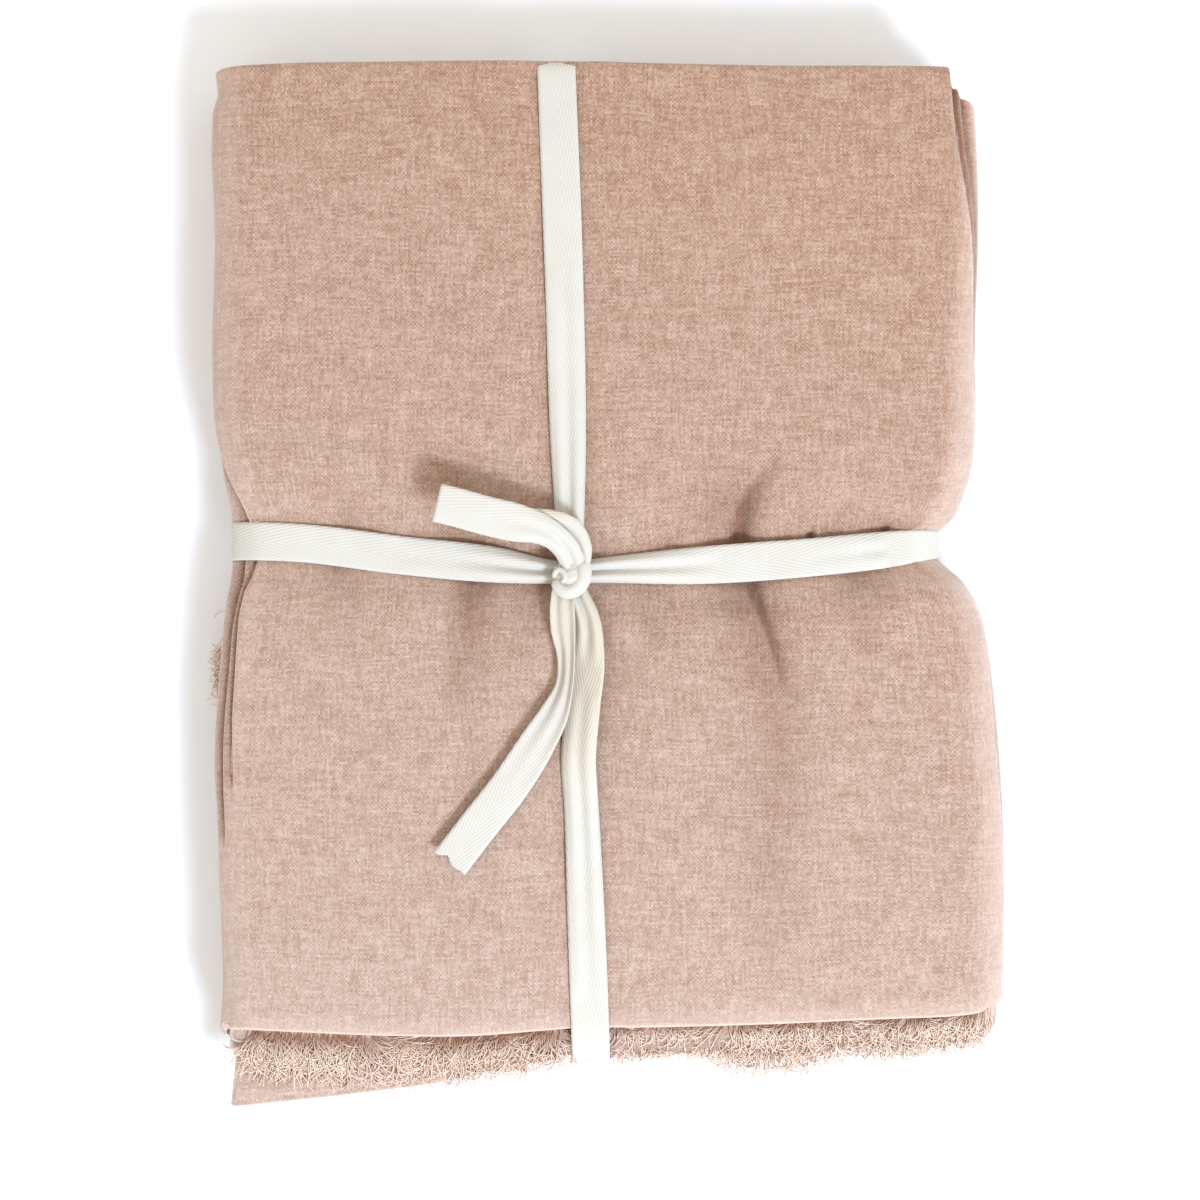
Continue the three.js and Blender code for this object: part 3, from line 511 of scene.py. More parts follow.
def panel_path():
    """The path across the width: eight layers in the order that folding in half three times gives."""
    turns = {(a, b): steps for a, b, steps in RIGHT_TURNS + LEFT_TURNS}
    parts = []
    for i, layer in enumerate(LAYER_ORDER):
        rightwards = i % 2 == 0
        free = FREE_LINE if layer in (1, 2) else LEFT_LINE
        lines = evenly(free, RIGHT_LINE, PANEL_STEPS.get(layer, HIDDEN_STEP))
        if layer == LAYERS:
            for low, high, step in FINE_COLUMNS:
                lines = finer(lines, low, high, step)
        facing = -1 if rightwards else 1
        parts.append(straight(lines[::-facing], layer_height(layer), facing))
        if i + 1 == LAYERS:
            break
        after = LAYER_ORDER[i + 1]
        radius = abs(after - layer) / 2 * LAYER_PITCH
        line = RIGHT_LINE if rightwards else LEFT_LINE
        if rightwards:
            start, end = (-90, 90) if after > layer else (90, -90)
        else:
            start, end = (90, 270) if after < layer else (270, 90)
        shown = {1: "end", LAYERS: "start"}.get(layer)
        height = layer_height((layer + after) / 2)
        parts.append(bend(line, height, radius, start, end, turns[(layer, after)], shown))
    return np.concatenate(parts)


# The stations' steps along each ply, and the closer ones as (from, to, step)
PLY_STEP = 30.0
TOP_STEP = 7.0
RAW_FINE = ((-14, 40, 6.0),)
INNER_FINE = ((-28, 48, 4.5),)
OUTER_FINE = ((-52, 58, 3.0), (4, 30, 2.0), (-FOLD_LINE, -FOLD_LINE + 3, 1.0))


def ply_lines(start, step, closer):
    """Places along one ply to the smooth end."""
    lines = evenly(start, SMOOTH_LINE, step)
    for low, high, fine in closer:
        lines = finer(lines, low, high, fine)
    return lines


def ply_path():
    """The path along the length: four plies, with both raw edges at the frayed end."""
    half = PLY_PITCH / 2
    raw = ply_lines(-RAW_LINE, PLY_STEP, RAW_FINE)
    inner = ply_lines(-FOLD_LINE, PLY_STEP, INNER_FINE)
    outer = ply_lines(-FOLD_LINE, TOP_STEP, OUTER_FINE)
    return np.concatenate(
        [
            straight(raw, -half, -1),
            bend(SMOOTH_LINE, 0, half, -90, 90, 4),
            straight(inner[::-1], half, 1),
            bend(-FOLD_LINE, 2 * half, half, 270, 90, 6),
            straight(outer, 3 * half, -1),
            bend(SMOOTH_LINE, 0, 3 * half, 90, -90, 8),
            straight(raw[::-1], -3 * half, 1),
        ]
    )


def distance_along(points):
    """How far each point is along the line through them."""
    return np.concatenate([[0], np.cumsum(np.linalg.norm(np.diff(points, axis=0), axis=1))])


def flat_grid(rows, cols):
    """The places on the flat cloth of a grid's points, in metres."""
    return np.stack(np.meshgrid(rows * MM, cols * MM, indexing="ij"), axis=-1).reshape(-1, 2)


def sheet_mesh(name, front, back, flat):
    """A closed sheet from the grids of its two faces, with the flat cloth as its UV map."""
    rows, cols = front.shape[:2]
    index = np.arange(2 * rows * cols).reshape(2, rows, cols)
    a, b = index[0], index[1]
    top = np.stack([a[:-1, :-1], a[1:, :-1], a[1:, 1:], a[:-1, 1:]], axis=-1).reshape(-1, 4)
    under = np.stack([b[:-1, :-1], b[:-1, 1:], b[1:, 1:], b[1:, :-1]], axis=-1).reshape(-1, 4)
    rims = [
        np.stack([a[:-1, 0], b[:-1, 0], b[1:, 0], a[1:, 0]], axis=-1),
        np.stack([a[:-1, -1], a[1:, -1], b[1:, -1], b[:-1, -1]], axis=-1),
        np.stack([a[0, :-1], a[0, 1:], b[0, 1:], b[0, :-1]], axis=-1),
        np.stack([a[-1, :-1], b[-1, :-1], b[-1, 1:], a[-1, 1:]], axis=-1),
    ]
    faces = np.concatenate([top, under, *rims])
    points = np.concatenate([front.reshape(-1, 3), back.reshape(-1, 3)])
    return mesh_object(name, points, faces, np.concatenate([flat, flat]))


def mesh_object(name, points, quads, flat, tips=()):
    """A smooth mesh object at the origin from points in the tables' frame, with triangles at its tips."""
    placed = (np.asarray(points) + PACK_SHIFT) * MM
    quads = np.asarray(quads)
    faces = quads.tolist() + [list(map(int, tip)) for tip in tips]
    if signed_volume(placed, quads) < 0:
        faces = [face[::-1] for face in faces]
    mesh = bpy.data.meshes.new(name)
    mesh.from_pydata(placed.tolist(), [], faces)
    layer = mesh.uv_layers.new(name="flat")
    corners = np.zeros(len(mesh.loops), np.int32)
    mesh.loops.foreach_get("vertex_index", corners)
    layer.data.foreach_set("uv", np.asarray(flat)[corners].astype(np.float32).ravel())
    mesh.polygons.foreach_set("use_smooth", np.ones(len(mesh.polygons), bool))
    mesh.update()
    return linked(name, mesh)


def linked(name, mesh):
    """A mesh's object, in the scene."""
    piece = bpy.data.objects.new(name, mesh)
    bpy.context.scene.collection.objects.link(piece)
    return piece


def add_numbers(mesh, name, values):
    """Stores a number for each point of a mesh."""
    mesh.attributes.new(name, "FLOAT", "POINT").data.foreach_set("value", np.asarray(values, np.float32))


def signed_volume(points, faces):
    """Six times the volume inside the faces, negative where they point inwards."""
    a, b, c, d = (points[faces[:, k]] for k in range(4))
    return np.einsum("ij,ij->", a, np.cross(b, c) + np.cross(c, d))


def folded_cloth():
    """The whole cloth as one sheet along its two paths."""
    across, along = panel_path(), ply_path()
    grids, shade_and_highlight_grids = [], []
    for side in (0.5, -0.5):
        y = along[:, 0] + along[:, 2] * side * PLY_THICKNESS
        offset = along[:, 1] + along[:, 3] * side * PLY_THICKNESS
        x = across[:, 0, None] + across[:, 2, None] * offset
        z = across[:, 1, None] + across[:, 3, None] * offset
        y = np.broadcast_to(y, x.shape)
        places = settle(x, y, z)
        outermost = (along[:, 1] > PLY_PITCH / 2 + 0.1) & (y < 0)
        grids.append(places)
        shade_and_highlight_grids.append(painted_shade_and_highlight_at(x, y, z, places, outermost))
    flat = flat_grid(distance_along(across[:, :2]), distance_along(along[:, :2]))
    piece = sheet_mesh("linen_cloth", *grids, flat)
    # Painted shade and painted highlights for the linen material.
    add_numbers(piece.data, "painted_shade_and_highlight", np.ravel(shade_and_highlight_grids))
    return piece


# Node trees


class Wiring:
    """Adds nodes to a tree, with plain values or other nodes' sockets as their inputs."""

    def __init__(self, tree):
        self.tree = tree

    def add(self, kind, *inputs, **options):
        node = self.tree.nodes.new(kind)
        named = options.pop("sockets", {})
        for key, value in options.items():
            setattr(node, key, value)
        for i, value in enumerate(inputs):
            self.feed(node.inputs[i], value)
        for key, value in named.items():
            self.feed(node.inputs[key], value)
        return node

    def feed(self, socket, value):
        if value is None:
            return
        if isinstance(value, bpy.types.Node):
            value = next(s for s in value.outputs if s.enabled)
        if isinstance(value, bpy.types.NodeSocket):
            self.tree.links.new(value, socket)
        else:
            socket.default_value = value

    def sum(self, operation, *inputs):
        return self.add("ShaderNodeMath", *inputs, operation=operation)

    def chained(self, operation, values):
        result = values[0]
        for value in values[1:]:
            result = self.sum(operation, result, value)
        return result

    def plus(self, *values):
        return self.chained("ADD", values)

    def times(self, *values):
        return self.chained("MULTIPLY", values)

    def vector(self, operation, *inputs):
        return self.add("ShaderNodeVectorMath", *inputs, operation=operation)

    def scaled(self, vector, scale):
        node = self.vector("SCALE", vector)
        self.feed(node.inputs["Scale"], scale)
        return node

    def noise(self, place, scale, detail, roughness=0.5):
        sockets = {"Vector": place, "Scale": scale, "Detail": detail, "Roughness": roughness}
        return self.add("ShaderNodeTexNoise", sockets=sockets)

    def attribute(self, name):
        return self.add("ShaderNodeAttribute", attribute_name=name).outputs["Fac"]

    def either(self, share, first, second):
        return self.add("ShaderNodeMix", sockets={0: share, 2: first, 3: second}).outputs[0]

    def mix(self, share, first, second, blend="MIX"):
        node = self.add("ShaderNodeMix", data_type="RGBA", blend_type=blend)
        colour_inputs = [s for s in node.inputs if s.type == "RGBA"]
        self.feed(node.inputs[0], share)
        self.feed(colour_inputs[0], first)
        self.feed(colour_inputs[1], second)
        return next(s for s in node.outputs if s.type == "RGBA")

    def ramp(self, value, low, high):
        node = self.add("ShaderNodeMapRange", sockets={"Value": value, "From Min": low, "From Max": high})
        node.interpolation_type = "SMOOTHSTEP"
        return node.outputs[0]

    def bump(self, shader, strength, distance, height):
        sockets = {"Strength": strength, "Distance": distance, "Height": height}
        self.feed(shader.inputs["Normal"], self.add("ShaderNodeBump", sockets=sockets))


def rgb(values):
    return (*values[:3], 1.0)


def new_material(name):
    """An empty material with its output and shader."""
    material = bpy.data.materials.new(name)
    material.use_nodes = True
    tree = material.node_tree
    tree.nodes.clear()
    wiring = Wiring(tree)
    shader = wiring.add("ShaderNodeBsdfPrincipled")
    output = wiring.add("ShaderNodeOutputMaterial")
    tree.links.new(shader.outputs[0], output.inputs[0])
    return material, wiring, shader


def matt(shader, roughness, specular, sheen, sheen_roughness=0.5):
    """Sets how rough a cloth is, and its sheen."""
    names = ("Roughness", "Specular IOR Level", "Sheen Weight", "Sheen Roughness")
    for name, value in zip(names, (roughness, specular, sheen, sheen_roughness)):
        shader.inputs[name].default_value = value


THREAD_SWAY = 0.006
SLUBS_PER_METRE = 75.0
THREAD_SPREAD = 0.731
# Painted light: the linen is painted paler and less saturated towards the frayed end and the left, along a
# slanting line in object space.
LIGHT_GRADIENT_SLANT = 0.35
LIGHT_GRADIENT_FROM = 0.19
LIGHT_GRADIENT_TO = -0.22
LIGHT_GRADIENT_SOFTER = 0.22
PICK_PITCH = 0.0006


def linen_material(look):
    """Washed plain weave of pale, tan and rusty threads, uneven along each thread, with painted light: paler
    towards the frayed end and the left, painted shade where shade falls and painted highlights on the folds'
    edges.
    """
    material, wire, shader = new_material("washed_linen")
    flat = wire.add("ShaderNodeUVMap", uv_map="flat")
    sway = wire.vector("SUBTRACT", wire.noise(flat, 26.0, 2.0).outputs["Color"], (0.5, 0.5, 0.5))
    place = wire.add("ShaderNodeSeparateXYZ", wire.vector("ADD", flat, wire.scaled(sway, THREAD_SWAY)))
    warp = wire.sum("DIVIDE", place.outputs[0], look.thread_pitch)
    weft = wire.sum("DIVIDE", place.outputs[1], look.thread_pitch)
    warp_thread, weft_thread = wire.sum("FLOOR", warp), wire.sum("FLOOR", weft)
    parity = wire.sum("FLOORED_MODULO", wire.plus(warp_thread, weft_thread), 2.0)
    over = wire.sum("GREATER_THAN", parity, 0.5)
    crossing = wire.add("ShaderNodeCombineXYZ", warp_thread, weft_thread, 0.0)
    speck = wire.add("ShaderNodeTexWhiteNoise", crossing).outputs["Value"]

    tones = []
    for thread, run, offset in ((warp_thread, place.outputs[1], 3.1), (weft_thread, place.outputs[0], 7.7)):
        spread = wire.times(thread, THREAD_SPREAD)
        spot = wire.add("ShaderNodeCombineXYZ", spread, wire.times(run, SLUBS_PER_METRE), offset)
        tones.append(wire.ramp(wire.noise(spot, 1.0, 3.0, 0.6).outputs[0], 0.28, 0.72))
    warp_tone, weft_tone = tones
    shown = wire.either(over, weft_tone, warp_tone)
    crossed = wire.either(over, warp_tone, weft_tone)
    patchy = wire.ramp(wire.noise(flat, 110.0, 4.0, 0.7).outputs[0], 0.3, 0.7)
    weights = ((over, 0.13), (shown, 0.26), (crossed, 0.13), (speck, 0.3), (patchy, 0.1))
    stops = wire.add("ShaderNodeValToRGB", wire.plus(*(wire.times(*pair) for pair in weights)))
    ramp = stops.color_ramp
    ramp.elements[0].position, ramp.elements[0].color = 0.08, rgb(look.linen_rust)
    ramp.elements[1].position, ramp.elements[1].color = 0.9, rgb(look.linen_pale)
    ramp.elements.new(0.46).color = rgb(look.linen_tan)

    # Painted light: paler towards the frayed end and the left.
    spot = wire.add("ShaderNodeTexCoord").outputs["Object"]
    spot = wire.add("ShaderNodeSeparateXYZ", spot)
    slanting = wire.plus(spot.outputs[1], wire.times(spot.outputs[0], LIGHT_GRADIENT_SLANT))
    span = {"Value": slanting, "From Min": LIGHT_GRADIENT_FROM, "From Max": LIGHT_GRADIENT_TO}
    lightened = wire.times(wire.add("ShaderNodeMapRange", sockets=span).outputs[0], look.painted_light_gradient_share)
    softened = wire.mix(wire.times(lightened, LIGHT_GRADIENT_SOFTER), stops.outputs[0], rgb(look.linen_tan))
    pale = wire.mix(lightened, softened, rgb(look.linen_painted_light_gradient), "MULTIPLY")
    # Painted shade darkens the linen in valleys, creases, beside the tape and under the top fold; painted
    # highlights lighten the folds' edges.
    painted_shade_and_highlight = wire.attribute("painted_shade_and_highlight")
    deep = wire.times(wire.sum("MAXIMUM", painted_shade_and_highlight, 0.0), look.painted_shade_share)
    highlighted = wire.times(wire.sum("MAXIMUM", wire.times(painted_shade_and_highlight, -1.0), 0.0), look.painted_highlight_share)
    pale = wire.mix(deep, pale, wire.mix(1.0, pale, rgb(look.linen_painted_shade), "MULTIPLY"))
    wire.feed(shader.inputs["Base Color"], wire.mix(highlighted, pale, rgb(look.linen_painted_highlight)))
    matt(shader, 0.92, 0.15, 0.55, 0.55)
    shader.inputs["Sheen Tint"].default_value = (1.0, 0.92, 0.87, 1.0)

    crowns = [wire.sum("SINE", wire.times(wire.sum("FRACT", thread), math.pi)) for thread in (warp, weft)]
    crown = wire.either(over, crowns[1], crowns[0])
    height = wire.plus(wire.times(crown, 0.5), wire.times(shown, 0.5), wire.times(speck, 0.25))
    wire.bump(shader, 0.55, 0.0002, height)
    return material


def tape_material(look):
    """Cream cotton herringbone: two columns of shallow twill lines that meet in the middle."""
    material, wire, shader = new_material("herringbone_cotton")
    flat = wire.add("ShaderNodeUVMap", uv_map="flat")
    place = wire.add("ShaderNodeSeparateXYZ", flat)
    aside = wire.sum("ABSOLUTE", wire.sum("SUBTRACT", place.outputs[0], TAPE_WIDTH * MM / 2))
    slanted = wire.plus(aside, wire.times(place.outputs[1], look.twill_slant))
    ridge = wire.ramp(wire.sum("SINE", wire.times(slanted, 2 * math.pi / look.twill_pitch)), -0.9, 0.9)
    picks = wire.sum("SINE", wire.times(place.outputs[1], 2 * math.pi / PICK_PITCH))
    fuzz = wire.noise(flat, 900.0, 2.0).outputs[0]
    cloud = wire.ramp(wire.noise(flat, 60.0, 2.0).outputs[0], 0.3, 0.8)
    shade = wire.mix(ridge, rgb(look.tape_shade), rgb(look.tape_cream))
    shade = wire.mix(cloud, shade, rgb(look.tape_cream))
    # Painted shade: where the tape is tilted or turned, its colour is mixed towards a darker tan shade
    # colour.
    turned = wire.times(wire.attribute("shade"), look.tape_painted_shade_share)
    wire.feed(shader.inputs["Base Color"], wire.mix(turned, shade, rgb(look.tape_painted_shade)))
    matt(shader, 0.88, 0.2, 0.2)
    wire.bump(shader, 0.4, 0.0002, wire.plus(ridge, wire.times(picks, 0.12), wire.times(fuzz, 0.5)))
    return material


def fringe_material(look):
    """Loose curled linen thread, each a little lighter or darker, and darker towards its root: partly rust
    and partly painted shade under the fold's edge.
    """
    material, wire, shader = new_material("frayed_linen_thread")
    spot = wire.add("ShaderNodeTexCoord").outputs["Object"]
    grain = wire.noise(spot, 700.0, 2.0).outputs[0]
    strength = wire.plus(wire.times(wire.attribute("tone"), 0.5), wire.times(grain, 0.4), 0.45)
    # Rust and painted shade: each thread is darkest at its root, under the fold's edge, and paler towards its
    # tip.
    share = wire.times(wire.ramp(wire.attribute("along"), 0.06, 0.58), strength)
    wire.feed(shader.inputs["Base Color"], wire.mix(share, rgb(look.thread_rust_and_shade), rgb(look.thread_pale)))
    matt(shader, 0.95, 0.1, 0.2)
    wire.bump(shader, 0.3, 0.0001, grain)
    return material


# Frayed edges

THREAD_POINTS = 11
THREAD_CHANCES = (
    # what differs from thread to thread, with its least and its most
    ("length", 0.8, 1.32),
    ("curl", -0.7, 0.7),
    ("wave", -0.8, 0.8),
    ("turn", -0.34, 0.34),
    ("lift", 0.0, 1.0),
    ("tone", 0.0, 1.0),
)
FRINGES = (
    # name, replaced solid, layer, ply, from, to, first y, last y, threads per mm, border, droop
    ("frayed_end_upper", "fringe_upper", 8, -0.5, -144.4, RIGHT_LINE + 17, -172.1, -182.3, 9, "upper", 1.4),
    ("frayed_end_middle", "fringe_middle", 8, -1.5, -144.4, RIGHT_LINE + 15, -177, -182.4, 5, "lower", 1.8),
    ("frayed_end_lower", "fringe_lower", 7, -1.5, -6.0, RIGHT_LINE, -179, -182.4, 5, "lower", 2.2),
)
TAPE_GAP = 8.4
FRAY_BORDERS = columns(
    "x upper lower",
    (-150, -190, -192),
    (-77, -193, -195.8),
    (-15, -186, -189.5),
    (0, -181.5, -188),
    (36, -181, -186),
    (59, -181.5, -191),
    (76, -181, -190),
    (94, -180.5, -186),
    (112, -180, -186),
    (130, -178, -183.6),
    (152, -175.5, -180.5),
)
FRAYED_ALONG = 3.0
REACH_SLACK = 1.12
SIDE_TUFTS = ((-26.0, 1.3, 70), (-33.5, 1.8, 60), (-40.0, 1.6, 60), (-36.0, 9.0, 60))
OTHER_DENSITY = 0.5
OTHER_REACH = 3.6
SIDE_REACH = 7.5


def thread_tree():
    """Curled threads that grow from points, as a node group with named sizes."""
    tree = bpy.data.node_groups.new("curled_threads", "GeometryNodeTree")
    face = tree.interface
    sizes = (
        ("Geometry", "Geometry", None),
        ("Thread Width", "Float", 0.0004),
        ("Curl", "Float", 4.0),
        ("Lift", "Float", 0.001),
        ("Droop", "Float", 0.002),
        ("Outward", "Vector", (0, -1, 0)),
        ("Sideways", "Vector", (1, 0, 0)),
        ("Seed", "Int", 3),
        ("Finish", "Material", None),
    )
    for name, kind, value in sizes:
        socket = face.new_socket(name=name, in_out="INPUT", socket_type="NodeSocket" + kind)
        if value is not None:
            socket.default_value = value
    face.new_socket(name="Geometry", in_out="OUTPUT", socket_type="NodeSocketGeometry")
    wire = Wiring(tree)
    given = wire.add("NodeGroupInput").outputs

    def store(geometry, name, value, domain):
        sockets = {"Geometry": geometry, "Name": name, "Value": value}
        kind = "GeometryNodeStoreNamedAttribute"
        return wire.add(kind, sockets=sockets, data_type="FLOAT", domain=domain).outputs[0]

    def read(name):
        sockets = {"Name": name}
        return wire.add("GeometryNodeInputNamedAttribute", sockets=sockets, data_type="FLOAT").outputs[0]

    line = wire.add("GeometryNodeCurvePrimitiveLine", sockets={"Start": (0, 0, 0), "End": (0, 0, 1e-6)})
    line = wire.add("GeometryNodeResampleCurve", sockets={"Curve": line, "Count": THREAD_POINTS})
    kept = wire.add("GeometryNodeInstanceOnPoints", sockets={"Points": given["Geometry"], "Instance": line})
    for shift, (name, low, high) in enumerate(THREAD_CHANCES):
        chance = wire.add("FunctionNodeRandomValue", data_type="FLOAT")
        chance.inputs[2].default_value, chance.inputs[3].default_value = low, high
        wire.feed(chance.inputs["Seed"], wire.plus(given["Seed"], float(shift)))
        kept = store(kept, name, chance.outputs[1], "INSTANCE")
    grown = wire.add("GeometryNodeRealizeInstances", sockets={"Geometry": kept})

    along = wire.add("GeometryNodeSplineParameter").outputs["Factor"]
    bias = wire.plus(read("curl"), wire.times(read("lean"), 0.9))
    tightening = wire.times(bias, given["Curl"], wire.sum("POWER", along, 2.0))
    waving = wire.times(wire.sum("SINE", wire.times(along, 5.0)), read("wave"))
    heading = wire.plus(wire.plus(read("lean"), read("turn")), wire.plus(tightening, waving))
    step = wire.times(read("reach"), read("length"), 1 / (THREAD_POINTS - 1))
    outward = wire.scaled(given["Outward"], wire.times(step, wire.sum("COSINE", heading)))
    sideways = wire.scaled(given["Sideways"], wire.times(step, wire.sum("SINE", heading)))
    walked = wire.add("GeometryNodeAccumulateField", data_type="FLOAT_VECTOR", domain="POINT")
    wire.feed(walked.inputs["Value"], wire.vector("ADD", outward, sideways))
    wire.feed(walked.inputs["Group ID"], wire.add("GeometryNodeCurveOfPoint").outputs["Curve Index"])
    raised = wire.times(wire.sum("SINE", wire.times(along, math.pi)), read("lift"), given["Lift"])
    sunk = wire.times(wire.sum("POWER", along, 1.7), given["Droop"])
    upright = wire.add("ShaderNodeCombineXYZ", 0.0, 0.0, wire.sum("SUBTRACT", raised, sunk))
    offset = wire.vector("ADD", walked.outputs["Trailing"], upright)
    curled = wire.add("GeometryNodeSetPosition", sockets={"Geometry": grown, "Offset": offset})
    curled = store(curled, "along", along, "POINT")
    ring = wire.add("GeometryNodeCurvePrimitiveCircle", sockets={"Resolution": 3})
    wire.feed(ring.inputs["Radius"], wire.times(given["Thread Width"], 0.5))
    taper = wire.sum("SUBTRACT", 1.0, wire.times(along, 0.4))
    thinned = wire.add("GeometryNodeSetCurveRadius", sockets={"Curve": curled, "Radius": taper})
    sockets = {"Curve": thinned, "Profile Curve": ring, "Fill Caps": True}
    tubes = wire.add("GeometryNodeCurveToMesh", sockets=sockets)
    made = wire.add("GeometryNodeRealizeInstances", sockets={"Geometry": tubes})
    made = wire.add("GeometryNodeSetMaterial", sockets={"Geometry": made, "Material": given["Finish"]})
    wire.feed(wire.add("NodeGroupOutput").inputs[0], made)
    return tree


def grown_threads(name, roots, leans, reaches, sizes):
    """A plain mesh of the threads that the node group grows from root points."""
    tree = bpy.data.node_groups.get("curled_threads") or thread_tree()
    mesh = bpy.data.meshes.new(name + "_roots")
    mesh.from_pydata(((np.asarray(roots) + PACK_SHIFT) * MM).tolist(), [], [])
    add_numbers(mesh, "lean", leans)
    add_numbers(mesh, "reach", np.asarray(reaches) * MM)
    seedbed = linked(name + "_roots", mesh)
    growth = seedbed.modifiers.new("threads", "NODES")
    growth.node_group = tree
    sockets = {s.name: s.identifier for s in tree.interface.items_tree if s.in_out == "INPUT"}
    for key, value in sizes.items():
        growth[sockets[key]] = value
    bpy.context.view_layer.update()
    graph = bpy.context.evaluated_depsgraph_get()
    grown = bpy.data.meshes.new_from_object(seedbed.evaluated_get(graph))
    bpy.data.objects.remove(seedbed)
    grown.name = name
    return linked(name, grown)


def combed(x, seed):
    """How far the threads at each place lean, so that neighbours sweep the same way."""
    shift = seed * 1.7
    swept = 0.6 * np.sin(x / 8.3 + shift) * np.sin(x / 19 + 2 * shift) + 0.25 * np.sin(x / 3.7 + shift)
    inwards = fade(x - LEFT_LINE + 3, 13)
    return swept * (1 - inwards) + inwards


def end_roots(layer, ply, start, end, first, last, density, border, seed):
    """Root points near the raw edge of a ply at the frayed end, clear of the tape, and the threads' reach."""
    chance = np.random.default_rng(seed)
    count = int((end - start) * density)
    x = np.linspace(start, end, count) + chance.uniform(-0.3, 0.3, count)
    y = first + (last - first) * chance.random(count) ** FRAYED_ALONG
    radius = ply_height(layer, ply) - layer_height(np.where(x > 0, 4.5, 6.5))
    past = np.clip(np.maximum(x - RIGHT_LINE, LEFT_LINE - x), 0, radius)
    turned = radius - np.sqrt(radius**2 - past**2)
    places = settle(x, y, ply_height(layer, ply) + PLY_THICKNESS * 0.5 - turned)
    middle = between(LENGTH_LINE, "y", np.full(count, -RAW_LINE), "x")
    reach = places[:, 1] - between(FRAY_BORDERS, "x", places[:, 0], border)
    clear = (np.abs(places[:, 0] - middle) > TAPE_GAP) & (reach > 2)
    return places[clear], combed(places[clear, 0], seed), reach[clear] * REACH_SLACK


def hidden_roots(density):
    """Sparse root points on the lower layers' raw edges, how far their threads lean, and their reach."""
    chance = np.random.default_rng(29)
    points = []
    for layer in range(1, LAYERS):
        for ply in (-0.5, -1.5):
            x = np.arange(LEFT_LINE + 3, RIGHT_LINE, 1 / density)
            x = x + chance.uniform(-0.4, 0.4, len(x)) / density
            y = np.full(len(x), -RAW_LINE + 0.4)
            points.append(settle(x, y, np.full(len(x), ply_height(layer, ply))))
    places = np.concatenate(points)
    middle = between(LENGTH_LINE, "y", np.full(len(places), -RAW_LINE), "x")
    places = places[np.abs(places[:, 0] - middle) > TAPE_GAP + OTHER_REACH]
    return places, 1.4 * combed(places[:, 0] + 7 * places[:, 2], 6), np.full(len(places), OTHER_REACH)


def side_roots():
    """Root points of the tufts on the free edge, how far their threads lean, and their reach."""
    chance = np.random.default_rng(5)
    y = np.concatenate([chance.normal(middle, spread, count) for middle, spread, count in SIDE_TUFTS])
    places = settle(np.full(len(y), FREE_LINE), y, ply_height(2, 1.5) + chance.uniform(-1, 1, len(y)))
    return places, combed(places[:, 1] + 60, 4), SIDE_REACH * chance.uniform(0.7, 1.2, len(y))


# Tape

RAYS = (-1.08, -0.55, 0.0, 0.55, 1.08)
UP = np.array([0.0, 0.0, 1.0])
SIDE_RAYS = (-0.66, -0.33, 0.0, 0.33, 0.66)
PAST_ENDS = 24.0
RAY_START = 130.0
STATION_STEP = 2.0
# The tilt at which a run of tape gets its full painted shade.
FULL_TILT = math.radians(28)
RUNS = {
    "cross": {
        "rows": CROSS_LINE,
        "along": "x",
        "across": "y",
        "from": -132.0,
        "to": 108.0,
        "under": 13.0,
        "slack": 0.0,
    },
    "length": {
        "rows": LENGTH_LINE,
        "along": "y",
        "across": "x",
        "from": -160.0,
        "to": 176.0,
        "under": -13.5,
        "slack": 4.0,
    },
}
PROFILE = np.linspace(-1, 1, 13)


def surface_tree(pieces):
    """A search tree over pieces' faces, in the tables' frame."""
    points, faces = [], []
    for piece in pieces:
        base = len(points)
        points.extend(Vector(v.co) / MM - Vector(PACK_SHIFT) for v in piece.data.vertices)
        faces.extend([base + i for i in p.vertices] for p in piece.data.polygons)
    return BVHTree.FromPolygons(points, faces)


def taut_section(tree, run, clear):
    """The line of a taut tape round the pack, as places along the run, heights and normals."""
    forward, sideways = run_ways(run)
    middle = UP * PACK_HEIGHT / 2
    touched = []

    def feel(origin, direction, rays=RAYS):
        for share in rays:
            start = origin + sideways * TAPE_WIDTH / 2 * share + direction * RAY_START
            hit = tree.ray_cast(Vector(start), Vector(-direction))[0]
            if hit is not None:
                touched.append((np.array(hit) @ forward, hit[2]))

    for at in evenly(run["from"], run["to"], STATION_STEP):
        feel(forward * at + sideways * aside_of(run, at) + middle, UP)
        feel(forward * at + sideways * run["under"] + middle, -UP)
    for sign, at in ((1, run["to"]), (-1, run["from"])):
        for angle in np.linspace(90, -90, 91):
            share = ((90 - angle) / 180) ** 3
            aside = aside_of(run, at + sign * PAST_ENDS) * (1 - share) + run["under"] * share
            turn = math.radians(angle)
            direction = forward * sign * math.cos(turn) + UP * math.sin(turn)
            feel(forward * at + sideways * aside + middle, direction, SIDE_RAYS)
    return offset_ring(hull(np.array(touched)), clear, run["slack"])


def run_ways(run):
    """A run's direction, and the direction across it."""
    x, y = np.array([1.0, 0, 0]), np.array([0, 1.0, 0])
    return (x, y) if run["along"] == "x" else (y, x)


def unit(vectors):
    """The vectors at length one."""
    return vectors / np.maximum(np.linalg.norm(vectors, axis=-1, keepdims=True), 1e-9)


def aside_of(run, at):
    return float(between(run["rows"], run["along"], at, run["across"]))


def hull(points):
    """The convex outline of flat points, turning left."""
    ordered = sorted(set(map(tuple, np.round(points, 4))))

    def chain(items):
        line = []
        for p in items:
            while len(line) > 1 and cross(line[-2], line[-1], p) <= 0:
                line.pop()
            line.append(p)
        return line[:-1]

    return np.array(chain(ordered) + chain(ordered[::-1]))


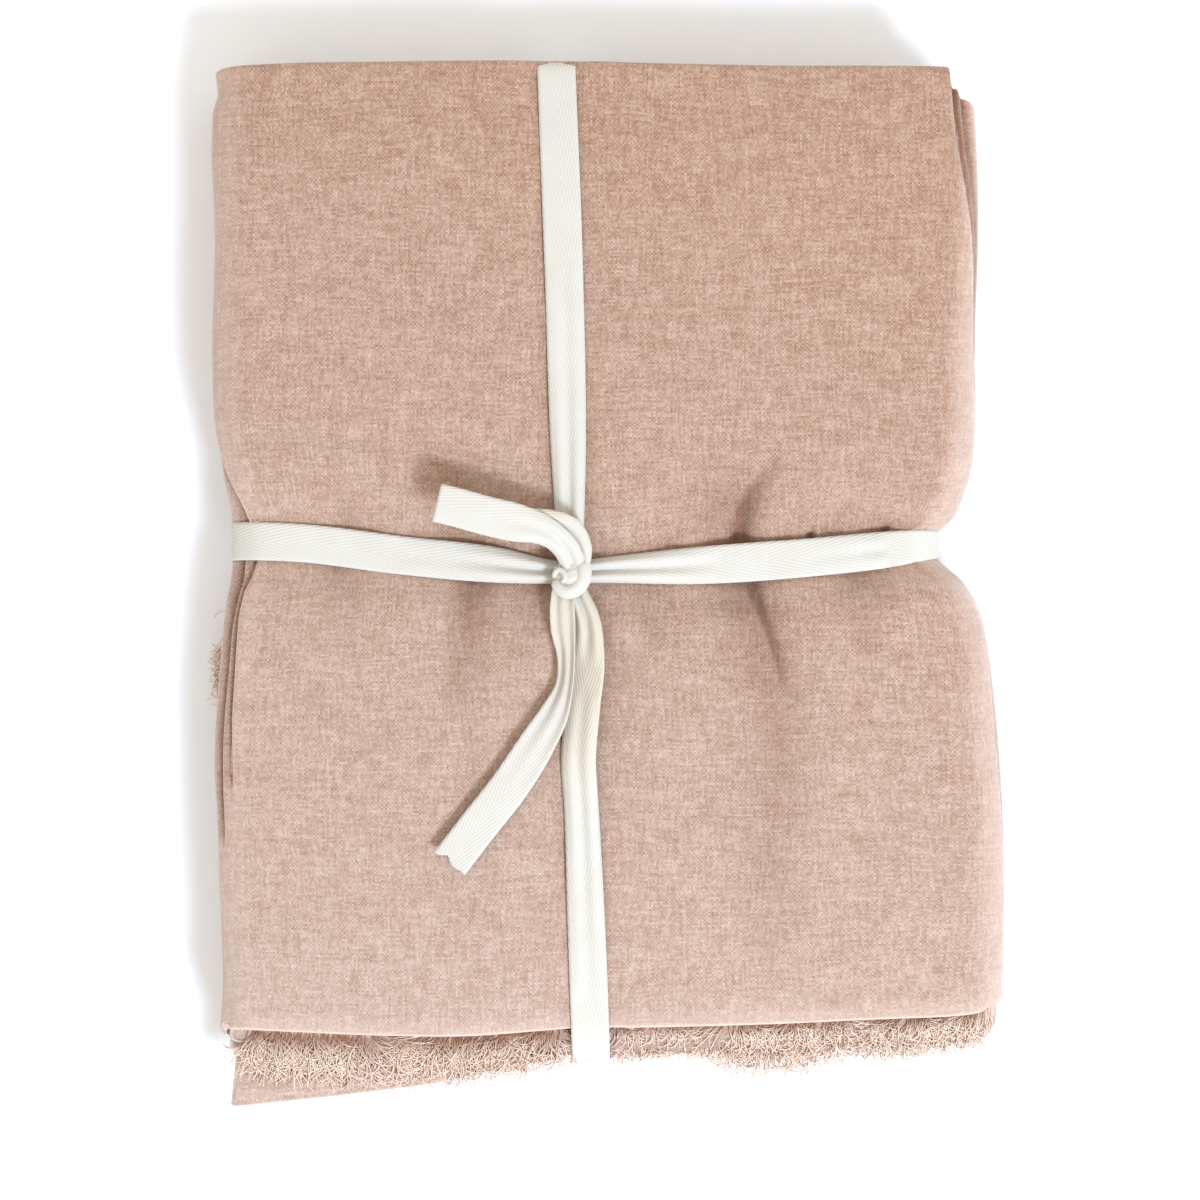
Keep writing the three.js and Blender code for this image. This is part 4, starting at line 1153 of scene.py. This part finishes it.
def cross(a, b, c):
    return (b[0] - a[0]) * (c[1] - a[1]) - (b[1] - a[1]) * (c[0] - a[0])


def offset_ring(ring, clear, slack):
    """Even points on the outline and their normals, moved out by a clearance and by slack at its start."""
    closed = np.vstack([ring, ring[:1]])
    along = distance_along(closed)
    at = np.linspace(0, along[-1], int(along[-1] / STATION_STEP) + 1)[:-1]
    line = np.stack([np.interp(at, along, closed[:, k]) for k in (0, 1)], axis=1)
    for _ in range(3):
        line = (np.roll(line, 1, axis=0) + 2 * line + np.roll(line, -1, axis=0)) / 4
    ahead = unit(np.roll(line, -1, axis=0) - np.roll(line, 1, axis=0))
    normal = np.stack([ahead[:, 1], -ahead[:, 0]], axis=1)
    return line + normal * (clear + slack * np.clip(-normal[:, :1], 0, 1) ** 2), normal


def pleat(width):
    """How high two pleats stand in a full-width tape that shows only this width."""
    return np.sqrt(np.maximum((TAPE_WIDTH / 4) ** 2 - (width / 4) ** 2, 0))


def tape_run(tree, run, look):
    """Stations of one run of the tape: middle, half width, normal, pleat height and shade."""
    forward, sideways = run_ways(run)
    line, normals = taut_section(tree, run, look.tape_clearance / MM + look.tape_thickness / MM / 2)
    stations = []
    for (at, height), (out, rise) in zip(line, normals):
        width = float(between(run["rows"], run["along"], at, "width"))
        turn, rising, shade, way = 0.0, 0.0, 0.0, sideways
        if at < run["from"] or at > run["to"]:
            share = (90 - math.degrees(math.atan2(rise, abs(out)))) / 180
            width = TAPE_WIDTH + (width - TAPE_WIDTH) * float(fade(share - 0.6, 0.4))
            aside = aside_of(run, at) * (1 - share**3) + run["under"] * share**3
        elif rise > 0:
            aside = aside_of(run, at)
            slope = (aside_of(run, at + 4) - aside_of(run, at - 4)) / 8
            way = unit(sideways - forward * slope)
            turn = math.radians(float(between(run["rows"], run["along"], at, "tilt")))
            width = width / math.cos(turn)
            rising = float(pleat(width))
            # Painted shade: the more the run tilts, the more of the tape's shade colour it gets.
            shade = turn / FULL_TILT
        else:
            aside, width = run["under"], TAPE_WIDTH
        middle = forward * at + sideways * aside + UP * (height + abs(math.sin(turn)) * width / 2)
        half = (way * math.cos(turn) + UP * math.sin(turn)) * width / 2
        stations.append((middle, half, forward * out + UP * rise, rising, shade))
    return stations


def ribbon(name, stations, thickness, closed, cut=None):
    """A woven ribbon through stations, with pleats across it where it is drawn together."""
    front = []
    for middle, half, normal, rise, _ in stations:
        wave = rise * (1 - np.cos(2 * np.pi * PROFILE)) / 2
        front.append(middle + PROFILE[:, None] * half + wave[:, None] * normal)
    front = np.array(front)
    if cut is not None:
        last = front[-1] - front[-2]
        for row in range(1, 6):
            front[-row] -= cut(PROFILE)[:, None] * (1 - (row - 1) / 5) * last / np.linalg.norm(last[6])
    ahead = np.gradient(front, axis=0)
    if closed:
        ahead = np.roll(front, -1, axis=0) - np.roll(front, 1, axis=0)
    normals = unit(np.cross(ahead, np.gradient(front, axis=1)))
    hint = np.array([station[2] for station in stations])
    sign = np.sign(np.einsum("ijk,ik->ij", normals, hint).mean(axis=1))
    normals *= np.where(sign == 0, 1, sign)[:, None, None]
    half = normals * (thickness / 2 * (1 - 0.45 * np.abs(PROFILE) ** 8))[None, :, None]
    upper, lower = front + half, front - half
    shades = np.array([station[4] for station in stations])
    if closed:
        upper, lower, shades = (np.concatenate([rows, rows[:1]]) for rows in (upper, lower, shades))
    along = distance_along((upper + lower)[:, len(PROFILE) // 2] / 2)
    aside = (PROFILE + 1) / 2 * TAPE_WIDTH
    piece = sheet_mesh(name, upper, lower, flat_grid(along, aside)[:, ::-1])
    add_numbers(piece.data, "shade", np.tile(np.repeat(shades, len(PROFILE)), 2))
    piece["flat_length"] = float(along[-1] * MM)
    if closed:
        weld_ring(piece, len(along), len(aside))
    return piece


def weld_ring(piece, rows, cols):
    """Joins the two ends of a closed ribbon and deletes the faces between its faces there."""
    shape = bmesh.new()
    shape.from_mesh(piece.data)
    shape.verts.ensure_lookup_table()
    total = rows * cols
    ends = set(range(cols)) | set(range(total, total + cols))
    lasts = set(range(total - cols, total)) | set(range(2 * total - cols, 2 * total))
    caps = []
    for face in shape.faces:
        corners = {v.index for v in face.verts}
        if corners <= ends or corners <= lasts:
            caps.append(face)
    bmesh.ops.delete(shape, geom=caps, context="FACES_ONLY")
    pairs = {shape.verts[a]: shape.verts[b] for a, b in zip(sorted(lasts), sorted(ends))}
    bmesh.ops.weld_verts(shape, targetmap=pairs)
    shape.to_mesh(piece.data)
    shape.free()
    piece.data.update()


# In the free ends' tables below, the shade column is painted shade, mixed into the tape's colour.
UPPER_TAIL = columns(
    "x y z width ax ay az shade",
    (-13.0, 4.6, 46.2, 9.6, 1, -0.1, -0.1, 0),
    (-14.2, 9.8, 48.8, 10, 0.98, 0.1, 0, 0),
    (-16.4, 14.4, 50.8, 10.2, 0.9, 0.4, 0.1, 0),
    (-21.0, 19.2, 53.0, 10.6, 0.62, 0.78, 0.15, 0),
    (-27.4, 22.6, 54.6, 12.4, 0.3, 0.95, 0.12, 0),
    (-35, 24.4, 55.8, 14.6, 0.12, 1, 0.1, 0),
    (-48, 27.4, 57, 15, 0.02, 1, 0.08, 0),
    (-58, 30.2, 58, 15, -0.08, 1, 0.05, 0),
    (-66.2, 32.2, 58.8, 15, -0.12, 1, 0.05, 0),
)
UPPER_TURN = columns(
    "x y z width ax ay az shade",
    (-9.6, 8.0, 47.6, 5, 1, 0.15, -0.1, 0.3),
    (-11.4, 14.6, 49.0, 10, 0.95, 0.35, 0.1, 0.35),
    (-15.6, 20.4, 50.4, 13, 0.72, 0.68, 0.15, 0.45),
    (-23.6, 24.4, 52.4, 11, 0.4, 0.92, 0.1, 0.5),
    (-32.0, 26.6, 54.2, 7, 0.2, 0.98, 0.1, 0.3),
)
LOWER_TAIL = columns(
    "x y z width ax ay az shade",
    (-17.0, 2, 45.6, 8.5, 1, 0, 0, 0.4),
    (-18.0, -6, 47.4, 9.5, 1, 0.05, 0.1, 0.6),
    (-17.8, -16, 48.6, 10, 0.95, 0.05, 0.28, 0.6),
    (-16.6, -28, 49.2, 8.5, 0.8, 0.05, 0.6, 0.45),
    (-17.2, -38, 49.4, 8.6, 0.75, -0.1, 0.6, 0.1),
    (-21.0, -49, 49.2, 11.6, 0.85, -0.3, 0.3, 0),
    (-27.8, -61, 48.8, 14, 0.9, -0.42, 0.1, 0),
    (-38.4, -77.4, 48.2, 15, 0.85, -0.52, 0.03, 0),
    (-50.6, -93, 48.0, 15, 0.83, -0.56, 0, 0),
    (-62.0, -107.8, 48.9, 15, 0.83, -0.56, 0, 0),
)


def torn(profile):
    """How far the lower end's cut edge falls short across its width."""
    share = (profile + 1) / 2
    return 2.2 * np.exp(-(((share - 0.34) / 0.13) ** 2)) + 0.8 * np.exp(-(((share - 0.86) / 0.06) ** 2))


def steps_along(rows, step):
    """A table's columns at even steps along its smooth curve, with the distances, middles and directions."""
    chord = distance_along(np.stack([rows[k] for k in "xyz"], axis=1))
    at = evenly(0, chord[-1], step)
    read = {key: between({**rows, "s": chord}, "s", at, key) for key in rows}
    middles = np.stack([read[k] for k in "xyz"], axis=1)
    return read, at, middles, unit(np.gradient(middles, axis=0))


def tail(rows, step):
    """Stations of a free end, on a smooth curve through its rows."""
    read, _, middles, ahead = steps_along(rows, step)
    ways = np.stack([read[k] for k in ("ax", "ay", "az")], axis=1)
    ways = unit(ways - np.einsum("ij,ij->i", ways, ahead)[:, None] * ahead)
    rises = pleat(np.minimum(read["width"], TAPE_WIDTH)) * 0.5
    halves = ways * read["width"][:, None] / 2
    return list(zip(middles, halves, np.cross(ways, ahead), rises, read["shade"]))


KNOT_WRAP = columns(
    "x y z width depth",
    (-10.4, 10.2, 48.2, 5.4, 2.6),
    (-9.8, 6.4, 48.8, 6.0, 3.4),
    (-10.6, 2.2, 48.8, 6.4, 3.8),
    (-13.0, -0.8, 48.6, 6.2, 3.8),
    (-16.4, -1.8, 48.2, 5.8, 3.6),
    (-19.4, 0.0, 47.6, 4.8, 3.2),
    (-20.8, 3.0, 46.6, 4.0, 2.8),
)
KNOT_RING = columns(
    "x y z width depth",
    (-21.4, 3.0, 46.6, 2.0, 2.0),
    (-20.8, 5.4, 48.4, 2.2, 2.2),
    (-19.2, 6.6, 49.4, 2.3, 2.2),
    (-17.6, 5.6, 49.8, 2.3, 2.2),
    (-17.0, 3.6, 49.8, 2.2, 2.2),
    (-17.9, 2.0, 49.2, 2.0, 2.0),
    (-19.2, 2.4, 48.2, 1.8, 1.8),
)
KNOT_CORE = columns(
    "x y z width depth",
    (-22.0, 4.0, 44.0, 5.4, 3.4),
    (-18.4, 4.4, 45.6, 9.0, 5.4),
    (-14.0, 4.2, 47.0, 11.0, 6.6),
    (-10.6, 4.2, 46.0, 9.0, 6.0),
    (-8.2, 4.4, 44.4, 6.0, 4.0),
)


def rope(name, rows, sides, grooves, step):
    """A bunched length of tape: a rounded body with soft grooves along it."""
    read, at, middles, ahead = steps_along(rows, step)
    side = unit(np.cross(ahead, UP))
    high = np.cross(side, ahead)
    turn = np.linspace(0, 2 * np.pi, sides, endpoint=False)
    swell = 1 + 0.09 * np.cos(grooves * turn + 0.6)
    ends = np.sqrt(np.clip(np.minimum(at, at[-1] - at) / 1.6, 0.02, 1))
    width, depth = read["width"] / 2 * ends, read["depth"] / 2 * ends
    rings = (
        middles[:, None]
        + side[:, None] * (np.cos(turn) * swell)[None, :, None] * width[:, None, None]
        + high[:, None] * (np.sin(turn) * swell)[None, :, None] * depth[:, None, None]
    )
    index = np.arange(len(at) * sides).reshape(len(at), sides)
    following = np.roll(index, -1, axis=1)
    faces = np.stack([index[:-1], following[:-1], following[1:], index[1:]], axis=-1).reshape(-1, 4)
    points = np.concatenate([rings.reshape(-1, 3), middles[:1], middles[-1:]])
    start = len(at) * sides
    tips = [(start, following[0, i], index[0, i]) for i in range(sides)]
    tips += [(start + 1, index[-1, i], following[-1, i]) for i in range(sides)]
    flat = flat_grid(at, turn / (2 * np.pi) * TAPE_WIDTH)[:, ::-1]
    return mesh_object(name, points, faces, np.concatenate([flat, flat[:1], flat[-1:]]), tips)


# Sizes and colours that a user would change


def colour(name, description, default):
    return bpy.props.FloatVectorProperty(
        name=name, description=description, subtype="COLOR", default=default
    )


def factors(name, description, default):
    return bpy.props.FloatVectorProperty(name=name, description=description, size=3, default=default)


def length(name, description, default):
    return bpy.props.FloatProperty(
        name=name, description=description, default=default, unit="LENGTH", precision=5
    )


def number(name, description, default):
    return bpy.props.FloatProperty(name=name, description=description, default=default)


class LinenLook(bpy.types.PropertyGroup):
    """Colours and thread sizes."""

    thread_pitch: length("Thread pitch", "Distance between linen threads", 0.00078)
    linen_tan: colour("Linen tan", "The main thread colour", (0.372, 0.234, 0.168))
    linen_pale: colour("Linen pale", "The light thread colour", (0.56, 0.402, 0.316))
    linen_rust: colour("Linen rust", "The dark thread colour", (0.235, 0.115, 0.068))
    # Painted light: how much lighter the linen is painted towards the frayed end, for each colour.
    linen_painted_light_gradient: factors(
        "Linen fading", "How much lighter the frayed end is, for each colour", (1.12, 1.29, 1.48)
    )
    # Painted shade: how much darker the linen is painted where shade falls, for each colour.
    linen_painted_shade: factors(
        "Linen hollows",
        "How much darker the linen is deep in a crease, for each colour",
        (0.46, 0.33, 0.24),
    )
    # How strong the painted shade is.
    painted_shade_share: number("Hollow share", "How far the creases darken", 0.9)
    # Painted highlight: the pale colour on the folds' edges, where they catch the light, and its share.
    linen_painted_highlight: colour("Linen rubbed", "The linen where a fold's edge is rubbed", (0.70, 0.565, 0.495))
    painted_highlight_share: number("Rubbed share", "How pale the folds' edges are", 0.8)
    # Painted light: how strong the lighter colour towards the frayed end is.
    painted_light_gradient_share: number("Washed share", "How far the frayed end has faded", 1.0)
    # The dark thread colour: rust, and painted shade at the threads' roots.
    thread_rust_and_shade: colour("Fringe tan", "Dark loose threads", (0.36, 0.165, 0.088))
    thread_pale: colour("Fringe pale", "Pale loose threads", (0.84, 0.69, 0.585))
    tape_cream: colour("Tape cream", "The tape's colour", (0.575, 0.568, 0.533))
    tape_shade: colour("Tape shade", "The tape between its twill lines", (0.545, 0.52, 0.455))
    # Painted shade: the darker tan colour given to tilted and turned tape, and its share.
    tape_painted_shade: colour("Tape tan", "The tape's underside", (0.60, 0.54, 0.435))
    tape_painted_shade_share: number("Tape underside share", "How tan the turned tape is", 0.75)
    twill_pitch: length("Twill pitch", "Distance between twill lines", 0.00125)
    twill_slant: number("Twill slant", "How far a twill line leans for each metre of tape", 0.27)
    tape_thickness: length("Tape thickness", "Thickness of the tape", 0.0006)
    tape_clearance: length("Tape clearance", "Space between the tape and the cloth", 0.0002)
    fray_width: length("Fray thread width", "Width of a loose thread", 0.00044)
    fray_curl: number("Fray curl", "How far a loose thread's tip turns, in radians", 5.2)
    fray_lift: length("Fray lift", "How far a loose thread arches up", 0.0012)


class StageLook(bpy.types.PropertyGroup):
    """The floor, lamp and camera."""

    floor_colour: colour("Floor", "The floor's colour", (0.87, 0.925, 0.985))
    floor_grain: colour("Floor grain", "The floor's lighter grain", (0.89, 0.945, 0.995))
    floor_size: length("Floor size", "Length of the floor's sides", 40.0)
    key_power: bpy.props.FloatProperty(
        name="Key lamp", description="Power of the large lamp", default=57.0, unit="POWER"
    )
    key_size: length("Key lamp size", "Length of the lamp's sides", 0.6)
    key_colour: factors("Key lamp colour", "The lamp's strength in each colour", (0.84, 0.98, 1.16))
    fill_light: number("Fill light", "Strength of the light from all round", 1.05)
    fill_colour: colour("Fill colour", "Colour of the light from all round", (1.0, 0.92, 0.84))
    camera_height: length("Camera height", "The camera above the floor", 1.02)
    camera_angle: bpy.props.FloatProperty(
        name="Camera angle",
        description="How wide the camera sees",
        default=math.radians(27.0),
        subtype="ANGLE",
    )


def finish_piece(piece, material, slot, *nodes):
    """Gives a piece its material and body, and hides the solids that it replaces. The slot is not used."""
    piece.data.materials.clear()
    piece.data.materials.append(material)
    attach(piece, "root")
    if nodes:
        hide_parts(*nodes)


class LINEN_OT_stage(bpy.types.Operator):
    """Makes the floor, the lamps and the camera"""

    bl_idname = "linen.make_stage"
    bl_label = "Floor, lamps and camera"

    def execute(self, context):
        look = context.scene.linen_stage
        bpy.ops.mesh.primitive_plane_add(size=look.floor_size, location=(0, 0, -0.0002))
        floor = context.active_object
        floor.name = "floor"
        material, wire, shader = new_material("pale_floor")
        grain = wire.noise(wire.add("ShaderNodeTexCoord").outputs["Object"], 60.0, 3.0)
        grain = wire.ramp(grain.outputs[0], 0.2, 0.9)
        tint = wire.mix(grain, rgb(look.floor_colour), rgb(look.floor_grain))
        wire.feed(shader.inputs["Base Color"], tint)
        shader.inputs["Roughness"].default_value = 0.8
        floor.data.materials.append(material)

        world = bpy.data.worlds.new("soft_daylight")
        world.use_nodes = True
        background = world.node_tree.nodes["Background"]
        background.inputs["Color"].default_value = rgb(look.fill_colour)
        background.inputs["Strength"].default_value = look.fill_light
        context.scene.world = world

        key = bpy.data.lights.new("key_lamp", "AREA")
        key.energy = look.key_power
        key.shape = "RECTANGLE"
        key.size, key.size_y = look.key_size, look.key_size
        key.color = look.key_colour
        lamp = bpy.data.objects.new("key_lamp", key)
        lamp.location = (0.95, -1.4, 1.75)
        lamp.rotation_euler = (-Vector(lamp.location)).to_track_quat("-Z", "Y").to_euler()
        context.scene.collection.objects.link(lamp)

        lens = bpy.data.cameras.new("camera")
        lens.sensor_width = lens.sensor_height = 36
        lens.angle = look.camera_angle
        lens.dof.use_dof = False
        camera = bpy.data.objects.new("camera", lens)
        camera.location = (-0.00245, -0.00645, look.camera_height)
        camera.rotation_euler = (0, 0, 0)
        context.scene.collection.objects.link(camera)
        context.scene.camera = camera
        context.scene.view_settings.view_transform = "Standard"
        return {"FINISHED"}


class LINEN_OT_cloth(bpy.types.Operator):
    """Folds the cloth and lays it in the pack"""

    bl_idname = "linen.fold_cloth"
    bl_label = "Folded cloth"

    def execute(self, context):
        look = context.scene.linen_look
        piece = folded_cloth()
        finish_piece(piece, linen_material(look), "linen", "cloth")
        return {"FINISHED"}


class LINEN_OT_fringes(bpy.types.Operator):
    """Grows the frayed edges from the raw edges of the cloth"""

    bl_idname = "linen.fray_edges"
    bl_label = "Frayed edges"

    def execute(self, context):
        look = context.scene.linen_look
        material = fringe_material(look)
        sizes = {"Thread Width": look.fray_width, "Lift": look.fray_lift, "Finish": material}
        for order, row in enumerate(FRINGES):
            name, node, *place, droop = row
            shape = {"Droop": droop * MM, "Curl": look.fray_curl, "Seed": 40 + 9 * order}
            piece = grown_threads(name, *end_roots(*place, 11 + order), {**sizes, **shape})
            finish_piece(piece, material, "frayed_thread", node)

        shape = {"Droop": 0.0009, "Curl": look.fray_curl, "Seed": 70, "Lift": 0.0004}
        piece = grown_threads("frayed_end_others", *hidden_roots(OTHER_DENSITY), {**sizes, **shape})
        finish_piece(piece, material, "frayed_thread")

        shape = {"Droop": 0.0012, "Curl": 3.5, "Seed": 90}
        ways = {"Outward": (-1.0, 0.0, 0.0), "Sideways": (0.0, 1.0, 0.0)}
        piece = grown_threads("frayed_side", *side_roots(), {**sizes, **shape, **ways})
        finish_piece(piece, material, "frayed_thread", "fringe_side")
        return {"FINISHED"}


class LINEN_OT_tape(bpy.types.Operator):
    """Ties the tape round the pack, with its knot and free ends"""

    bl_idname = "linen.tie_tape"
    bl_label = "Tape, knot and free ends"

    def execute(self, context):
        look = context.scene.linen_look
        material = tape_material(look)
        thickness = look.tape_thickness / MM
        tree = surface_tree([bpy.data.objects["linen_cloth"]])
        pieces = [
            ribbon("tape_cross", tape_run(tree, RUNS["cross"], look), thickness, True),
            ribbon("tape_length", tape_run(tree, RUNS["length"], look), thickness, True),
            ribbon("tape_end_upper", tail(UPPER_TAIL, 1.2), thickness, False),
            ribbon("tape_turn_upper", tail(UPPER_TURN, 1.0), thickness, False),
            ribbon("tape_end_lower", tail(LOWER_TAIL, 1.2), thickness, False, torn),
            rope("tape_knot_wrap", KNOT_WRAP, 20, 4, 0.6),
            rope("tape_knot_ring", KNOT_RING, 16, 3, 0.5),
            rope("tape_knot_core", KNOT_CORE, 20, 4, 0.8),
        ]
        for piece in pieces:
            finish_piece(piece, material, "cotton_tape", "tape")
        return {"FINISHED"}


class LINEN_PT_panel(bpy.types.Panel):
    """Lists the steps that build the tied cloth"""

    bl_label = "Tied tablecloth"
    bl_idname = "LINEN_PT_panel"
    bl_space_type = "VIEW_3D"
    bl_region_type = "UI"
    bl_category = "Linen"

    def draw(self, context):
        for step in STEPS:
            self.layout.operator(step.bl_idname)


STEPS = (LINEN_OT_stage, LINEN_OT_cloth, LINEN_OT_fringes, LINEN_OT_tape)
CLASSES = (LinenLook, StageLook, *STEPS, LINEN_PT_panel)


def register():
    for item in CLASSES:
        bpy.utils.register_class(item)
    bpy.types.Scene.linen_look = bpy.props.PointerProperty(type=LinenLook)
    bpy.types.Scene.linen_stage = bpy.props.PointerProperty(type=StageLook)


def unregister():
    del bpy.types.Scene.linen_look
    del bpy.types.Scene.linen_stage
    for item in reversed(CLASSES):
        bpy.utils.unregister_class(item)


def main():
    register()
    bpy.ops.linen.make_stage()
    bpy.ops.linen.fold_cloth()
    bpy.ops.linen.fray_edges()
    bpy.ops.linen.tie_tape()


if __name__ == "__main__":
    main()
